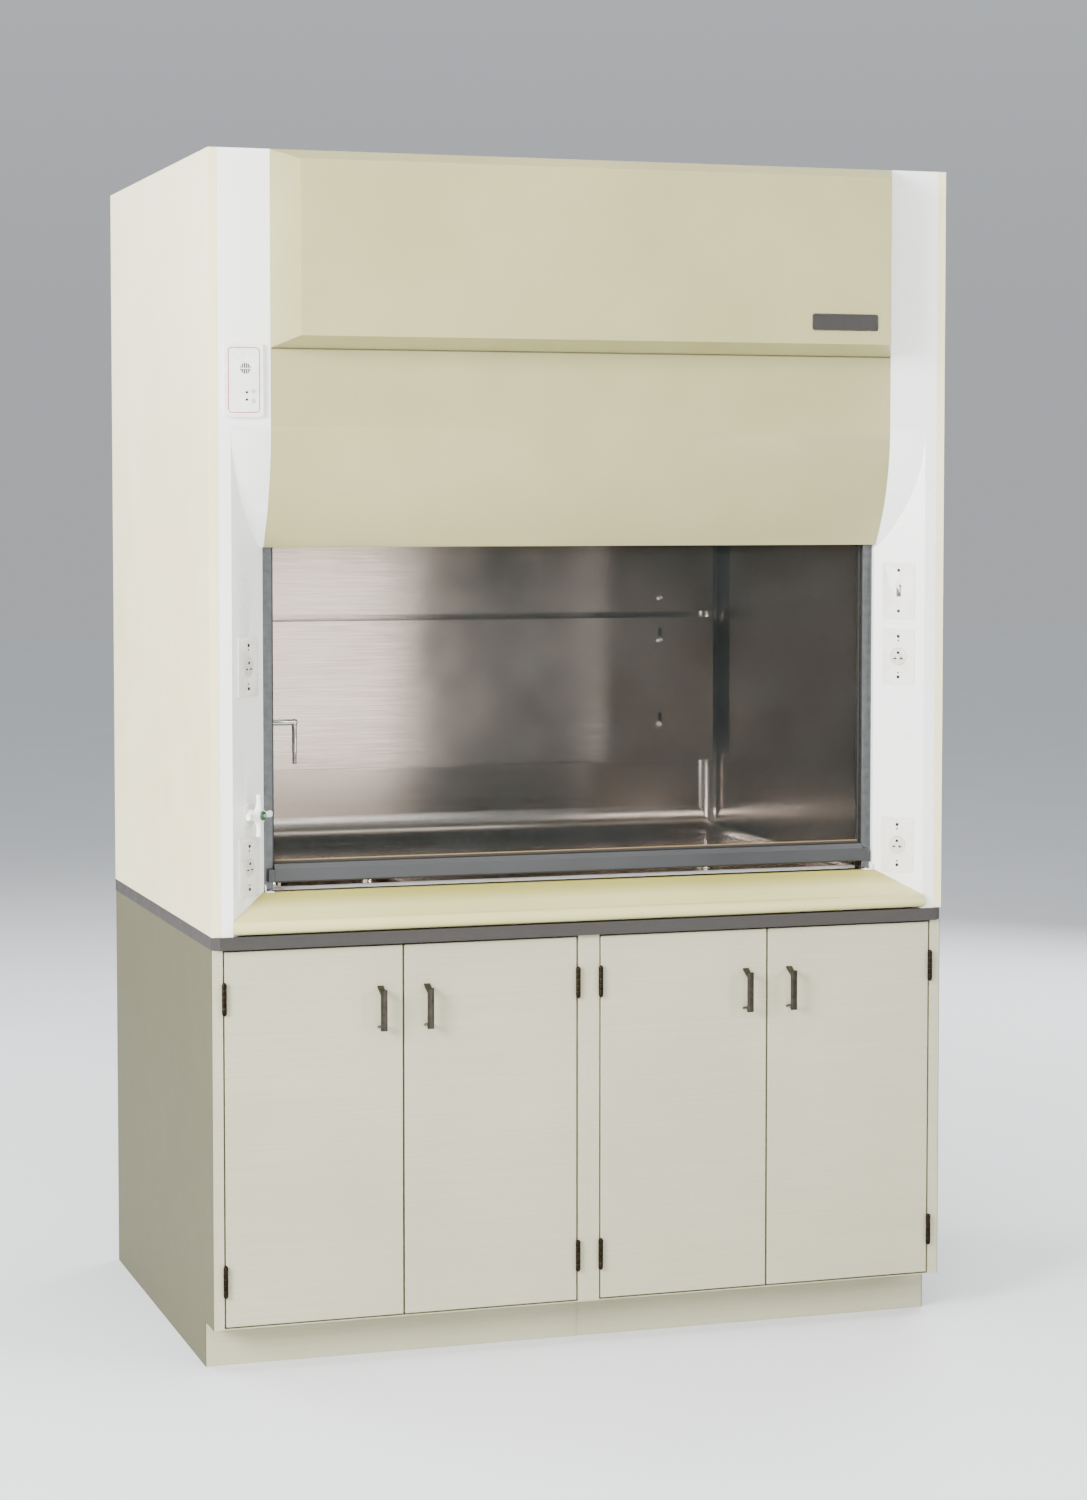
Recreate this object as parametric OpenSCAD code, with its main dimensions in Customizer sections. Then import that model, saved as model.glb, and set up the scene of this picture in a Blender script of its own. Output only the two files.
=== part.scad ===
// Bench fume hood on a pair of two-door base cabinets.
// Millimetres. Origin on the floor under the middle of the object's bounding box;
// +X is to the right of a person at the sash, -Y is the side of that person, +Z is up.

/* [Overall] */
// Width of the hood, its worktop and the two cabinets together
hood_w = 1524; // [1250:1:1900]
// Depth from the front of the corner posts to the back
hood_d = 1016; // [840:1:1250]
// Height of the hood above the worktop
hood_h = 1499; // [1440:1:1800]
// Height of the base cabinets
cab_h = 826; // [680:1:1000]
// Thickness of the worktop slab
slab_t = 25; // [18:1:40]

/* [Shell] */
// Thickness of the folded steel sheet
sheet = 1.5; // [1:0.1:2]
// Depth of the folded side, back and roof pans
pan = 18; // [12:1:30]
// Flat front strip of a corner post
strip = 24; // [12:1:40]
// Width and depth of a corner post's 45 degree bevel
bevel = 78; // [72:1:100]
// Depth of a corner post from front to back
post_d = 124; // [122:1:160]
// Height above the worktop of the header's lower edge
header_z = 744; // [640:1:900]
// Height above the worktop of the groove between the two header panels
groove_z = 1124; // [1060:1:1200]
// How far the curved header's lower edge is set back
set_back = 70; // [50:1:74]
// Height of the header's curved stretch
curve_h = 232; // [180:1:300]
// How far the upper header panel stands proud
proud = 85; // [40:1:110]
// Widths of the upper header panel's side, top and bottom bevels
side_bevel = 39; // [20:1:60]
top_bevel = 25; // [22:1:40]
bottom_bevel = 20; // [15:1:40]
// Width and height of the blank name plate
plate_w = 141; // [100:1:200]
plate_h = 33; // [20:1:50]
// Thickness of the name plate
plate_t = 2; // [1:0.5:4]
// Distances of the name plate's middle from the header's side and top
plate_side = 137; // [85:1:300]
plate_top = 312; // [60:1:330]
// How far the rear panel sits in front of the worktop's back edge
rear_set = 4; // [3:0.5:8]
// Width and height of the access panel on the back
access_w = 1000; // [600:1:1150]
access_h = 620; // [400:1:800]

/* [Chamber] */
// Distance of the sash tracks behind the front of the posts
track_set = 88; // [84:1:90]
// Width of a sash track on each side
track_w = 20; // [16:1:30]
// Height of the work surface and of its raised front lip above the worktop
floor_z = 65; // [50:1:72]
lip_z = 78; // [76:1:90]
// Height above the worktop of the chamber's ceiling
ceiling_z = 1210; // [1150:1:1300]
// Gap between the baffles and the rear liner
plenum = 60; // [45:1:90]
// Room behind the rear liner for the counterweight
weight_gap = 40; // [36:1:60]
// Gap between a baffle's ends and the side liners
baffle_gap = 20; // [8:1:30]
// Lower edge, joint height and upper bend of the baffles above the worktop
baffle_low_z = 240; // [150:1:260]
baffle_mid_z = 582; // [520:1:640]
baffle_bend_z = 950; // [900:1:1000]
// Height of the slot between the lower and the upper baffle
baffle_slot = 14; // [8:1:30]
// Depth of the lower baffle's folded lips
baffle_lip = 12; // [6:1:18]
// Travel of the lower baffle
baffle_travel = 22; // [10:1:26]
// Diameter of the baffle studs, and their distance from the side liners
stud_d = 8; // [6:0.5:10]
stud_side = 150; // [80:1:300]
// Front-to-back length of the light's window, and the height of its housing
light_d = 150; // [120:1:180]
light_h = 80; // [60:1:100]

/* [Sink] */
// Width, front-to-back length and depth of the sink bowl
sink_w = 250; // [200:1:300]
sink_l = 200; // [160:1:240]
sink_deep = 130; // [100:1:150]
// Corner radius of the sink bowl
sink_r = 40; // [20:1:60]
// Distance of the sink from the left liner and from the front lip
sink_side = 45; // [30:1:80]
sink_front = 55; // [40:1:90]
// Outer diameter and length of the drain's tailpiece
tail_d = 38; // [32:0.5:50]
tail_len = 110; // [90:1:160]

/* [Sash] */
// Thickness of the sash glass
glass_t = 6; // [4:0.5:8]
// Thickness of the sash's side stiles
stile_t = 16; // [12:0.5:17]
// Height of the bottom rail, and its underside's height above the worktop
rail_h = 36; // [28:1:45]
rail_z = 92; // [91:1:110]
// Depth of the bottom rail in front of the stiles
grip_d = 19; // [12:1:22]
// Height of the top rail, and how far the glass passes behind the header
top_rail_h = 15; // [10:1:20]
glass_lap = 5; // [3:1:20]
// Drop left under the rail for closing it fully
sash_drop = 12; // [6:1:14]

/* [Counterbalance] */
// Radius of the cable's centre line on a pulley
pulley_r = 25; // [18:1:30]
// Diameter of the cable
cable_d = 3; // [2:0.5:4]
// Diameter of the pulley shafts
shaft_d = 14; // [10:1:20]
// Height and thickness of the counterweight bar
weight_h = 71; // [60:1:140]
weight_t = 24; // [18:1:28]

/* [Services] */
// Width, height and thickness of a cover plate
cover_w = 70; // [66:1:72]
cover_h = 114; // [110:1:120]
cover_t = 2.5; // [1.5:0.5:4]
// Distance between a cover plate's two screws
screw_pitch = 83.3; // [80:0.1:90]
// Heights above the worktop of the outlets, the switch and the water valve
outlet_low_z = 128; // [125:1:160]
outlet_high_z = 515; // [420:1:540]
switch_z = 650; // [640:1:680]
valve_z = 230; // [220:1:330]
// Diameter of a receptacle's round face
socket_d = 35; // [32:0.5:38]
// Width, height and depth of the airflow alarm's case
alarm_w = 75; // [60:1:85]
alarm_h = 140; // [120:1:160]
alarm_d = 10; // [8:1:16]
// Distance of the alarm's middle from the post's inner face, and its height above the worktop
alarm_side = 54; // [50:1:58]
alarm_z = 1062; // [1050:1:1100]
// Diameter and travel of the alarm's push buttons
button_d = 8; // [6:0.5:10]
button_travel = 1; // [0.5:0.1:2]
// Outer diameter of the exhaust collar, and how far it stands above the roof
collar_d = 254; // [200:1:300]
collar_h = 42; // [30:1:80]
// Outer diameter of the water supply stub
supply_d = 12.7; // [10:0.1:16]
// Length of the supply stub's free end under the worktop
supply_len = 50; // [40:1:80]
// Height of the water outlet above the valve, and how far it reaches into the chamber
tap_rise = 160; // [120:1:200]
spout_reach = 90; // [60:1:140]

/* [Base cabinets] */
// Width of a cabinet's end stiles, and the depth of its face frame
stile_w = 22; // [16:1:30]
frame_d = 20; // [19:1:30]
// Thickness of a door
door_t = 19; // [16:1:19]
// Gap at a door's hinge side, between two doors, and above and below a door
hinge_gap = 3.5; // [3:0.1:5]
door_gap = 4; // [2:0.5:6]
edge_gap = 4.5; // [3:0.5:8]
// Height and setback of the toe space
kick_h = 89; // [70:1:110]
kick_d = 75; // [50:1:90]
// Length of a hinge, and the distance of its middle from the door's end
hinge_h = 58; // [45:1:70]
hinge_end = 90; // [70:1:110]
// Radii of a hinge's knuckles and pin
knuckle_r = 4.75; // [4:0.05:6]
pin_r = 2.4; // [2:0.05:3]
// Height, width, projection and thickness of a door pull
pull_h = 105; // [80:1:130]
pull_w = 13; // [8:1:16]
pull_out = 30; // [25:1:40]
pull_t = 5; // [3:0.5:7]
// Distance of a pull from the door's free edge and from its top
pull_edge = 45; // [35:1:70]
pull_top = 68; // [50:1:120]

/* [Hidden] */
$fn = 96;

// Clearances
running = 0.5;   // between parts that slide past each other
thin = 0.35;     // between a hinge's two leaves and the middle of the pin
bore_fit = 0.1;  // radial, between a pin or shaft and its bore
through = 1;     // how far a cutting shape runs past the face it cuts

// Frame of reference
hw = hood_w / 2;
yf = (proud + plate_t - hood_d) / 2;
yb = yf + hood_d;
z0 = cab_h + slab_t;
zr = z0 + hood_h;

// Corner posts and what stands between them
xp = hw - pan;                       // outer face of a post
xs = xp - strip;                     // where the bevel starts
xh = xs - bevel;                     // inner face of a post
xi = xh - track_w;                   // inner face of the tracks and the side liners
curve_r = (curve_h * curve_h + set_back * set_back) / (2 * set_back);
curve_a = asin(curve_h / curve_r);
z_curve = z0 + header_z + curve_h;   // where the header starts to curve

// Sash
track_y = yf + track_set;
track_d = 30;
track_wall = 6;
web = 3;
y_sash = track_y + track_d / 2;
glass_z = z0 + rail_z + rail_h;
sash_top = z0 + header_z + glass_lap + top_rail_h;
sash_up = header_z - rail_z - rail_h - 6;
track_top = sash_top + sash_up + 16;

// Chamber
y_liner = track_y + track_d;
y_rear = yb - pan - weight_gap - sheet;
y_baffle = y_rear - plenum - sheet;
z_ceiling = z0 + ceiling_z;
slope = z_ceiling - 20 - z0 - baffle_bend_z;
baffle_w = 2 * (xi - baffle_gap);
stud_x = xi - stud_side;
slot_h = baffle_travel + stud_d + 2;
lower_studs = [baffle_low_z + 84, baffle_mid_z - baffle_slot - 50];
upper_studs = [baffle_mid_z + 32, baffle_bend_z - 90];
collar_y = y_rear - collar_d / 2 - 34;
duct_d = collar_d - 4;               // the collar's narrower tube inside the hood
light_w = 2 * xi - 140;
light_y = y_liner + light_d;

// Sink
sink_x = -xi + sink_side + sink_w / 2;
sink_y = yf + post_d + sink_front + sink_l / 2;
bowl_t = 2;
tap_z = z0 + valve_z + tap_rise;     // height of the water outlet's flange

// Alarm
alarm_x = -xh - alarm_side;
button_x = alarm_x + 18;
button_zs = [-21, -39];              // test above mute
lamp_x = alarm_x + 5.5;
lamp_zs = [-23, -37];

// Water supply: from the valve's body back along the post, then down through the worktop
body_in = 32;                        // depth of the valve's body behind the bevel
supply_x = -xs + bevel / 2 - body_in * sqrt(0.5);
supply_y = yf + bevel / 2 + (body_in * sqrt(0.5)) + 47;
supply_end = cab_h - supply_len - 10;

// Counterbalance
cable_x = xi + (xh - xi) / 2;
y_weight = yb - pan - weight_gap / 2;
pulley_z = zr - pan - 4 - pulley_r - 5;
front_pulley_y = y_sash + pulley_r;
rear_pulley_y = y_weight - pulley_r;
pulley_w = 10;
shaft_end = pulley_w / 2 + 3;        // from the cable's plane to the end of a shaft
weight_z = pulley_z - pulley_r - 70;
weight_w = 2 * (cable_x + 12);

// Cabinets
yc = yf + 6;
yk = yb - 6;
leaf_t = 1.4;
knuckle_gap = 0.4;
knuckle_h = (hinge_h - 4 * knuckle_gap) / 5;
hinge_y = yc - knuckle_r - 0.45;
door_w = (hw - 2 * stile_w - 2 * hinge_gap - door_gap) / 2;
door_z = kick_h + edge_gap;
door_h = cab_h - kick_h - 2 * edge_gap;
shelf_z = kick_h + (cab_h - kick_h) / 2;

// Colours
ivory = "#E8E2CD";
post_white = "#EEEBE4";
sage = "#C8C4A6";
sill_yellow = "#DCD9B4";
slab_black = "#3A3530";
stainless = "#B9B4AE";
track_grey = "#A4A6A2";
rail_blue = "#5A6066";
putty = "#CBC9BB";

// ---------- helpers ----------

// Carries an outline drawn as (depth, height) along X, centred on x = 0
module along_x(len) {
  translate([-len / 2, 0, 0]) rotate([90, 0, 90]) linear_extrude(len) children();
}

// Stands on a post's bevel at height z: local -Y points out of the face
module on_bevel(side, z) {
  translate([side * (xs - bevel / 2), yf + bevel / 2, z0 + z])
    rotate([0, 0, -45 * side])
      children();
}

// Mirrors a right-hand part to the left for side = -1
module handed(side) {
  if (side > 0) children();
  else mirror([1, 0, 0]) children();
}

// Rectangle with round corners, centred
module round_rect(w, h, r) {
  square([w - 2 * r, h], center = true);
  square([w, h - 2 * r], center = true);
  for (x = [-1, 1], y = [-1, 1])
    translate([x * (w / 2 - r), y * (h / 2 - r)]) circle(r);
}

// Block between two corners
module span(a, b) {
  translate(a) cube(b - a);
}

// Disc or rod along the local -Y direction, from depth y0 out to y1
module out_rod(d, y0, y1) {
  translate([0, -y0, 0]) rotate([90, 0, 0]) cylinder(d = d, h = y1 - y0);
}

// Flat piece with its face on local -Y, from depth y0 out to y1
module out_plate(y0, y1) {
  translate([0, -y0, 0]) rotate([90, 0, 0]) linear_extrude(y1 - y0) children();
}

// ---------- outer shell ----------

module side_panel(side) {
  color(ivory)
    handed(side)
      difference() {
        span([xp, yf, z0], [hw, yb, zr]);
        span([xp - through, yf + sheet, z0 + sheet], [hw - sheet, yb - sheet, zr - sheet]);
      }
}

module rear_panel() {
  color(ivory)
    difference() {
      span([-xp, yb - pan, z0], [xp, yb - rear_set, zr]);
      span([-xp + sheet, yb - pan - through, z0 + sheet],
           [xp - sheet, yb - rear_set - sheet, zr - sheet]);
    }
}

// Cover over the counterweight's run, with its screws
module rear_access_panel() {
  mid = z0 + hood_h - 80 - access_h / 2;
  color(ivory)
    translate([0, yb - rear_set, mid])
      rotate([0, 0, 180]) {
        out_plate(0, sheet) round_rect(access_w, access_h, 6);
        for (x = [-1:0.5:1], z = [-1, 1])
          translate([x * (access_w / 2 - 14), 0, z * (access_h / 2 - 14)])
            out_rod(8, sheet, sheet + 1.5, $fn = 32);
        for (x = [-1, 1])
          translate([x * (access_w / 2 - 14), 0, 0]) out_rod(8, sheet, sheet + 1.5, $fn = 32);
      }
}

// Plan of the roof, inset by s all round
module roof_plan(s) {
  polygon([
    [-xh + s, yf + s], [xh - s, yf + s], [xh - s, yf + post_d + s], [xp - s, yf + post_d + s],
    [xp - s, yb - pan - s], [-xp + s, yb - pan - s], [-xp + s, yf + post_d + s],
    [-xh + s, yf + post_d + s]
  ]);
}

module roof_panel() {
  color(ivory)
    difference() {
      translate([0, 0, zr - pan]) linear_extrude(pan) roof_plan(0);
      translate([0, 0, zr - pan - through]) linear_extrude(pan - sheet + through) roof_plan(sheet);
      translate([0, collar_y, zr - pan]) cylinder(d = duct_d + 2 * running, h = pan + through);
    }
}

// Tube from the chamber's ceiling through the roof, with a flange that rests on each;
// above the roof it widens to the collar
module exhaust_collar() {
  flange_d = collar_d + 50;
  flange_t = 2;
  color(stainless)
    translate([0, collar_y, 0])
      difference() {
        union() {
          translate([0, 0, z_ceiling + sheet]) cylinder(d = duct_d, h = zr - z_ceiling - sheet);
          translate([0, 0, z_ceiling + sheet]) cylinder(d = flange_d, h = flange_t);
          translate([0, 0, zr]) cylinder(d = flange_d, h = flange_t);
          translate([0, 0, zr]) cylinder(d = collar_d, h = collar_h);
        }
        translate([0, 0, z_ceiling]) cylinder(d = duct_d - 2 * sheet, h = zr - z_ceiling + through);
        translate([0, 0, zr + flange_t]) cylinder(d = collar_d - 2 * sheet, h = collar_h);
      }
}

// ---------- corner posts ----------

// Section of the header's skin as (depth, height): flat above, an arc below
module front_skin(top) {
  translate([yf, z_curve]) square([sheet, top - z_curve]);
  intersection() {
    translate([yf + curve_r, z_curve])
      difference() {
        circle(curve_r, $fn = 720);
        circle(curve_r - sheet, $fn = 720);
      }
    translate([yf + curve_r, z_curve])
      polygon([
        [0, 0], [-2 * curve_r, 0], [-2 * curve_r * cos(curve_a), -2 * curve_r * sin(curve_a)]
      ]);
  }
}

// Clearance for the two screws of a cover plate
module screw_holes() {
  for (s = [-1, 1]) translate([0, 0, s * screw_pitch / 2]) out_rod(4.4, -30, through, $fn = 24);
}

module corner_post(side) {
  color(post_white)
    difference() {
      handed(side)
        union() {
          translate([0, 0, z0])
            linear_extrude(hood_h)
              difference() {
                polygon([
                  [xp, yf], [xs, yf], [xh, yf + bevel], [xh, yf + post_d], [xp, yf + post_d]
                ]);
                polygon([
                  [xp - sheet, yf + sheet], [xs + 0.414 * sheet, yf + sheet],
                  [xh + sheet, yf + bevel + 0.414 * sheet], [xh + sheet, yf + post_d + through],
                  [xp - sheet, yf + post_d + through]
                ]);
              }
          translate([0, 0, zr - sheet])
            linear_extrude(sheet)
              polygon([[xp, yf], [xh, yf], [xh, yf + post_d], [xp, yf + post_d]]);
          intersection() {
            along_x(hood_w) front_skin(zr);
            translate([0, 0, z0])
              linear_extrude(hood_h) polygon([[xs, yf], [xh, yf + bevel], [xh, yf]]);
          }
        }
      for (z = [outlet_low_z, outlet_high_z])
        on_bevel(side, z) {
          span([-24, -through, -37], [24, 30, 37]);
          screw_holes();
        }
      if (side > 0)
        on_bevel(side, switch_z) {
          span([-14, -through, -37], [14, 30, 37]);
          screw_holes();
        }
      if (side < 0) on_bevel(side, valve_z) out_rod(30, -30, through);
    }
}

// ---------- header ----------

// Solid of the raised panel, inset by s; back is how far it runs behind the posts' face
module raised_block(s, back) {
  k = (proud - s) / proud;
  intersection() {
    along_x(2 * xh)
      polygon([
        [yf + back, z0 + groove_z + s], [yf, z0 + groove_z + s],
        [yf - proud + s, z0 + groove_z + s + bottom_bevel * k],
        [yf - proud + s, zr - s - top_bevel * k], [yf, zr - s], [yf + back, zr - s]
      ]);
    translate([0, 0, z0])
      linear_extrude(hood_h)
        polygon([
          [-xh + s, yf + back], [-xh + s, yf], [-xh + s + side_bevel * k, yf - proud + s],
          [xh - s - side_bevel * k, yf - proud + s], [xh - s, yf], [xh - s, yf + back]
        ]);
  }
}

module header_upper_panel() {
  color(sage)
    difference() {
      raised_block(0, 0);
      raised_block(sheet, through);
    }
}

module header_lower_panel() {
  color(sage)
    union() {
      along_x(2 * xh) front_skin(z0 + groove_z + 25);
      span([-xh, yf + set_back, z0 + header_z], [xh, track_y, z0 + header_z + sheet]);
    }
}

module name_plate() {
  color("#2C2A28")
    translate([xh - plate_side, yf - proud, zr - plate_top])
      out_plate(0, plate_t) round_rect(plate_w, plate_h, 5);
}

// ---------- chamber ----------

module liner_side(side) {
  color(stainless)
    difference() {
      handed(side)
        union() {
          span([xi, y_liner, z0], [xi + sheet, y_rear, z_ceiling]);
          span([xi, y_liner, z0], [xh, y_liner + sheet, z_ceiling]);
        }
      if (side < 0)
        translate([-xi - sheet - through, sink_y, tap_z])
          rotate([0, 90, 0]) cylinder(d = 14, h = sheet + 2 * through);
    }
}

module liner_rear() {
  color(stainless)
    difference() {
      span([-xi - sheet, y_rear, z0], [xi + sheet, y_rear + sheet, z_ceiling]);
      for (x = [-stud_x, stud_x], z = concat(lower_studs, upper_studs))
        translate([x, y_rear, z0 + z]) out_rod(stud_d, -sheet - through, through);
    }
}

module liner_ceiling() {
  color(stainless)
    difference() {
      union() {
        span([-xi - sheet, y_liner, z_ceiling], [xi + sheet, y_rear + sheet, z_ceiling + sheet]);
        span([-xi - sheet, y_liner, z_ceiling], [xi + sheet, y_liner + sheet, z_ceiling + 20]);
      }
      translate([0, collar_y, z_ceiling - through])
        cylinder(d = duct_d - 2 * sheet, h = sheet + 2 * through);
      span([-light_w / 2, light_y - light_d / 2, z_ceiling - through],
           [light_w / 2, light_y + light_d / 2, z_ceiling + sheet + through]);
    }
}

module baffle_upper() {
  color(stainless)
    difference() {
      along_x(baffle_w)
        polygon([
          [y_baffle, z0 + baffle_mid_z], [y_baffle, z0 + baffle_bend_z],
          [y_baffle - slope, z0 + baffle_bend_z + slope],
          [y_baffle - slope + 1.414 * sheet, z0 + baffle_bend_z + slope],
          [y_baffle + sheet, z0 + baffle_bend_z + 0.414 * sheet],
          [y_baffle + sheet, z0 + baffle_mid_z + sheet],
          [y_baffle + baffle_lip, z0 + baffle_mid_z + sheet],
          [y_baffle + baffle_lip, z0 + baffle_mid_z]
        ]);
      for (x = [-stud_x, stud_x], z = upper_studs)
        translate([x, y_baffle, z0 + z]) out_rod(stud_d, -sheet - through, through);
    }
}

// The studs hold the baffles off the rear liner; each ends in a washer and a domed nut
module baffle_studs() {
  color("#D8D6D2")
    for (x = [-stud_x, stud_x], z = concat(lower_studs, upper_studs))
      translate([x, 0, z0 + z]) {
        translate([0, y_rear + sheet, 0]) out_rod(stud_d, 0, plenum + 2 * sheet + running);
        translate([0, y_baffle - running, 0]) {
          out_rod(2.2 * stud_d, 0, 1.5);
          out_rod(1.7 * stud_d, 1.5, 1.5 + 0.8 * stud_d, $fn = 6);
          translate([0, -1.5 - 0.8 * stud_d, 0])
            intersection() {
              sphere(0.7 * stud_d);
              out_rod(2 * stud_d, 0, stud_d);
            }
        }
      }
}

module baffle_lower() {
  zl = z0 + baffle_low_z;
  zh = z0 + baffle_mid_z - baffle_slot;
  color(stainless)
    difference() {
      along_x(baffle_w)
        polygon([
          [y_baffle, zl + sheet], [y_baffle, zh], [y_baffle + baffle_lip, zh],
          [y_baffle + baffle_lip, zh - sheet], [y_baffle + sheet, zh - sheet],
          [y_baffle + sheet, zl], [y_baffle - baffle_lip, zl], [y_baffle - baffle_lip, zl + sheet]
        ]);
      for (x = [-stud_x, stud_x], z = lower_studs)
        translate([x, y_baffle, z0 + z])
          out_plate(-sheet - through, through)
            translate([0, slot_h / 2 - stud_d / 2 - 1])
              round_rect(stud_d + 2, slot_h, stud_d / 2 + 0.99);
    }
}

// Dished tray with a raised lip at the front and a downturned skirt all round
module work_surface() {
  color(stainless)
    difference() {
      span([-xi, y_liner, z0], [xi, y_rear, z0 + lip_z]);
      span([-xi + 2, y_liner + 2, z0 - through], [xi - 2, y_rear - 2, z0 + floor_z - 2]);
      span([-xi - through, y_liner + 14, z0 + floor_z],
           [xi + through, y_rear + through, z0 + lip_z + through]);
      span([-xi + 12, y_liner + 2, z0], [xi - 12, y_liner + 12, z0 + lip_z - 2]);
      translate([sink_x, sink_y, z0]) linear_extrude(hood_h) round_rect(sink_w, sink_l, sink_r);
    }
}

module sink_bowl() {
  rim_z = z0 + floor_z - 2;
  color(stainless)
    translate([sink_x, sink_y, 0])
      difference() {
        union() {
          translate([0, 0, rim_z - sink_deep])
            linear_extrude(sink_deep)
              round_rect(sink_w + 2 * bowl_t, sink_l + 2 * bowl_t, sink_r + bowl_t);
          translate([0, 0, rim_z - bowl_t])
            linear_extrude(bowl_t) round_rect(sink_w + 40, sink_l + 40, sink_r + 20);
        }
        translate([0, 0, rim_z - sink_deep + bowl_t])
          linear_extrude(sink_deep) round_rect(sink_w, sink_l, sink_r);
        translate([0, 0, rim_z - sink_deep - through])
          cylinder(d = tail_d + 4, h = bowl_t + 2 * through);
      }
}

// Flanged strainer and tailpiece
module sink_drain() {
  seat = z0 + floor_z - 2 - sink_deep + bowl_t;
  color("#CFCCC6")
    translate([sink_x, sink_y, 0])
      difference() {
        union() {
          translate([0, 0, seat - bowl_t]) cylinder(d = tail_d + 4, h = bowl_t);
          translate([0, 0, seat]) cylinder(d = tail_d + 22, h = 2);
          translate([0, 0, seat - tail_len]) cylinder(d = tail_d, h = tail_len);
          translate([0, 0, seat - bowl_t - 8]) cylinder(d = tail_d + 22, h = 8, $fn = 6);
        }
        translate([0, 0, seat - tail_len - through]) cylinder(d = tail_d - 4, h = tail_len);
        for (r = [0, 1], k = [0:(r == 0 ? 0 : 5)])
          rotate([0, 0, 60 * k])
            translate([r * tail_d * 0.3, 0, seat - 2]) cylinder(d = 5, h = 6, $fn = 24);
      }
}

// ---------- worktop and sill ----------

module worktop_slab() {
  corner = 14;
  lip = 6;
  color(slab_black)
    difference() {
      translate([0, 0, cab_h])
        linear_extrude(slab_t)
          polygon([
            [-hw, yb], [-hw, yf - lip + corner], [-hw + corner, yf - lip],
            [hw - corner, yf - lip], [hw, yf - lip + corner], [hw, yb]
          ]);
      translate([sink_x, sink_y, cab_h - through])
        linear_extrude(slab_t + 2 * through)
          round_rect(sink_w + 2 * bowl_t + 6, sink_l + 2 * bowl_t + 6, sink_r + bowl_t + 3);
      translate([supply_x, supply_y, cab_h - through])
        cylinder(d = supply_d + 4, h = slab_t + 2 * through);
    }
}

// Curved-nose sill with its ribs; the blade's ends follow the posts' bevels
module airfoil_sill() {
  nose = 14;
  nose_y = yf + 4;
  nose_z = z0 + nose + 2;
  rear_y = track_y - 2;
  rear_z = z0 + rail_z - sash_drop - 6;
  rib_at = 0.62;                     // place of the outer ribs, as a share of the half width
  color(sill_yellow)
    intersection() {
      union() {
        along_x(hood_w) {
          translate([nose_y, nose_z]) circle(nose);
          polygon([
            [nose_y - 3, nose_z + nose - 0.34], [rear_y - 12, rear_z], [rear_y, rear_z],
            [rear_y, rear_z - 3], [rear_y - 10, rear_z - 4], [nose_y + 2, nose_z - nose + 0.2]
          ]);
        }
        for (x = [-rib_at, 0, rib_at])
          translate([x * xh - 3, 0, 0])
            rotate([90, 0, 90])
              linear_extrude(6)
                polygon([
                  [nose_y + 14, z0], [rear_y - 6, z0], [rear_y - 6, rear_z - 3],
                  [nose_y + 14, nose_z - 2]
                ]);
      }
      translate([0, 0, z0])
        linear_extrude(hood_h)
          polygon([
            [-xh, yf + post_d], [-xh, yf + bevel - running], [-xs + 1.5 * running, yf],
            [-xs - 4, yf - 10], [xs + 4, yf - 10],
            [xs - 1.5 * running, yf], [xh, yf + bevel - running], [xh, yf + post_d]
          ]);
    }
}

// ---------- sash and its counterbalance ----------

module sash_tracks() {
  low = z0 + lip_z;
  color(track_grey)
    for (side = [-1, 1])
      handed(side)
        difference() {
          span([xi, track_y, low], [xh, track_y + track_d, track_top]);
          span([xi - through, track_y + track_wall, low - through],
               [xh - web, track_y + track_d - track_wall, track_top + through]);
        }
}

module sash_glass() {
  color("#C9D4D2", 0.35)
    span([-xi + 2, y_sash - glass_t / 2, glass_z], [xi - 2, y_sash + glass_t / 2, sash_top - top_rail_h]);
}

module sash_frame() {
  stile_x = xh - web - 1.5;
  color(track_grey) {
    for (side = [-1, 1])
      handed(side) {
        span([xi - 2, y_sash - stile_t / 2, z0 + rail_z], [stile_x, y_sash + stile_t / 2, sash_top]);
        translate([cable_x, y_sash, sash_top]) cylinder(d = 9, h = 8);
      }
    span([-xi + 2, y_sash - stile_t / 2, sash_top - top_rail_h],
         [xi - 2, y_sash + stile_t / 2, sash_top]);
  }
}

// Bottom rail with a forward grip that passes in front of the tracks
module sash_rail() {
  rear = y_sash + stile_t / 2;
  front = y_sash - stile_t / 2 - grip_d;
  low = z0 + rail_z;
  color(rail_blue)
    union() {
      along_x(2 * (xi - 2))
        polygon([
          [rear, low], [rear, low + rail_h], [front + 9, low + rail_h], [front, low + rail_h - 9],
          [front, low + 3], [front + 3, low], [front + 7, low], [front + 7, low + 8],
          [front + 13, low + 8], [front + 13, low]
        ]);
      for (side = [-1, 1])
        handed(side)
          span([xi - 2, front + 1, low + 1], [xi + 10, track_y - running, low + rail_h - 10]);
    }
}

// Both cables, whole: from the sash over the front and rear pulleys to the counterweight
module sash_cables() {
  rise = sash_top + 8;
  drop = weight_z + 10;
  color("#8A8C8E")
    for (x = [-cable_x, cable_x]) {
      translate([x, y_sash, rise]) cylinder(d = cable_d, h = pulley_z - rise, $fn = 16);
      translate([x, front_pulley_y, pulley_z]) bend(90);
      translate([x, front_pulley_y, pulley_z + pulley_r])
        rotate([-90, 0, 0])
          cylinder(d = cable_d, h = rear_pulley_y - front_pulley_y, $fn = 16);
      translate([x, rear_pulley_y, pulley_z]) bend(0);
      translate([x, y_weight, drop]) cylinder(d = cable_d, h = pulley_z - drop, $fn = 16);
    }
}

// Quarter turn of cable over a pulley, starting at an angle above the rear horizontal
module bend(start) {
  rotate([90, 0, 90])
    rotate_extrude(angle = 90, start = start) translate([pulley_r, 0]) circle(d = cable_d, $fn = 16);
}

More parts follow.
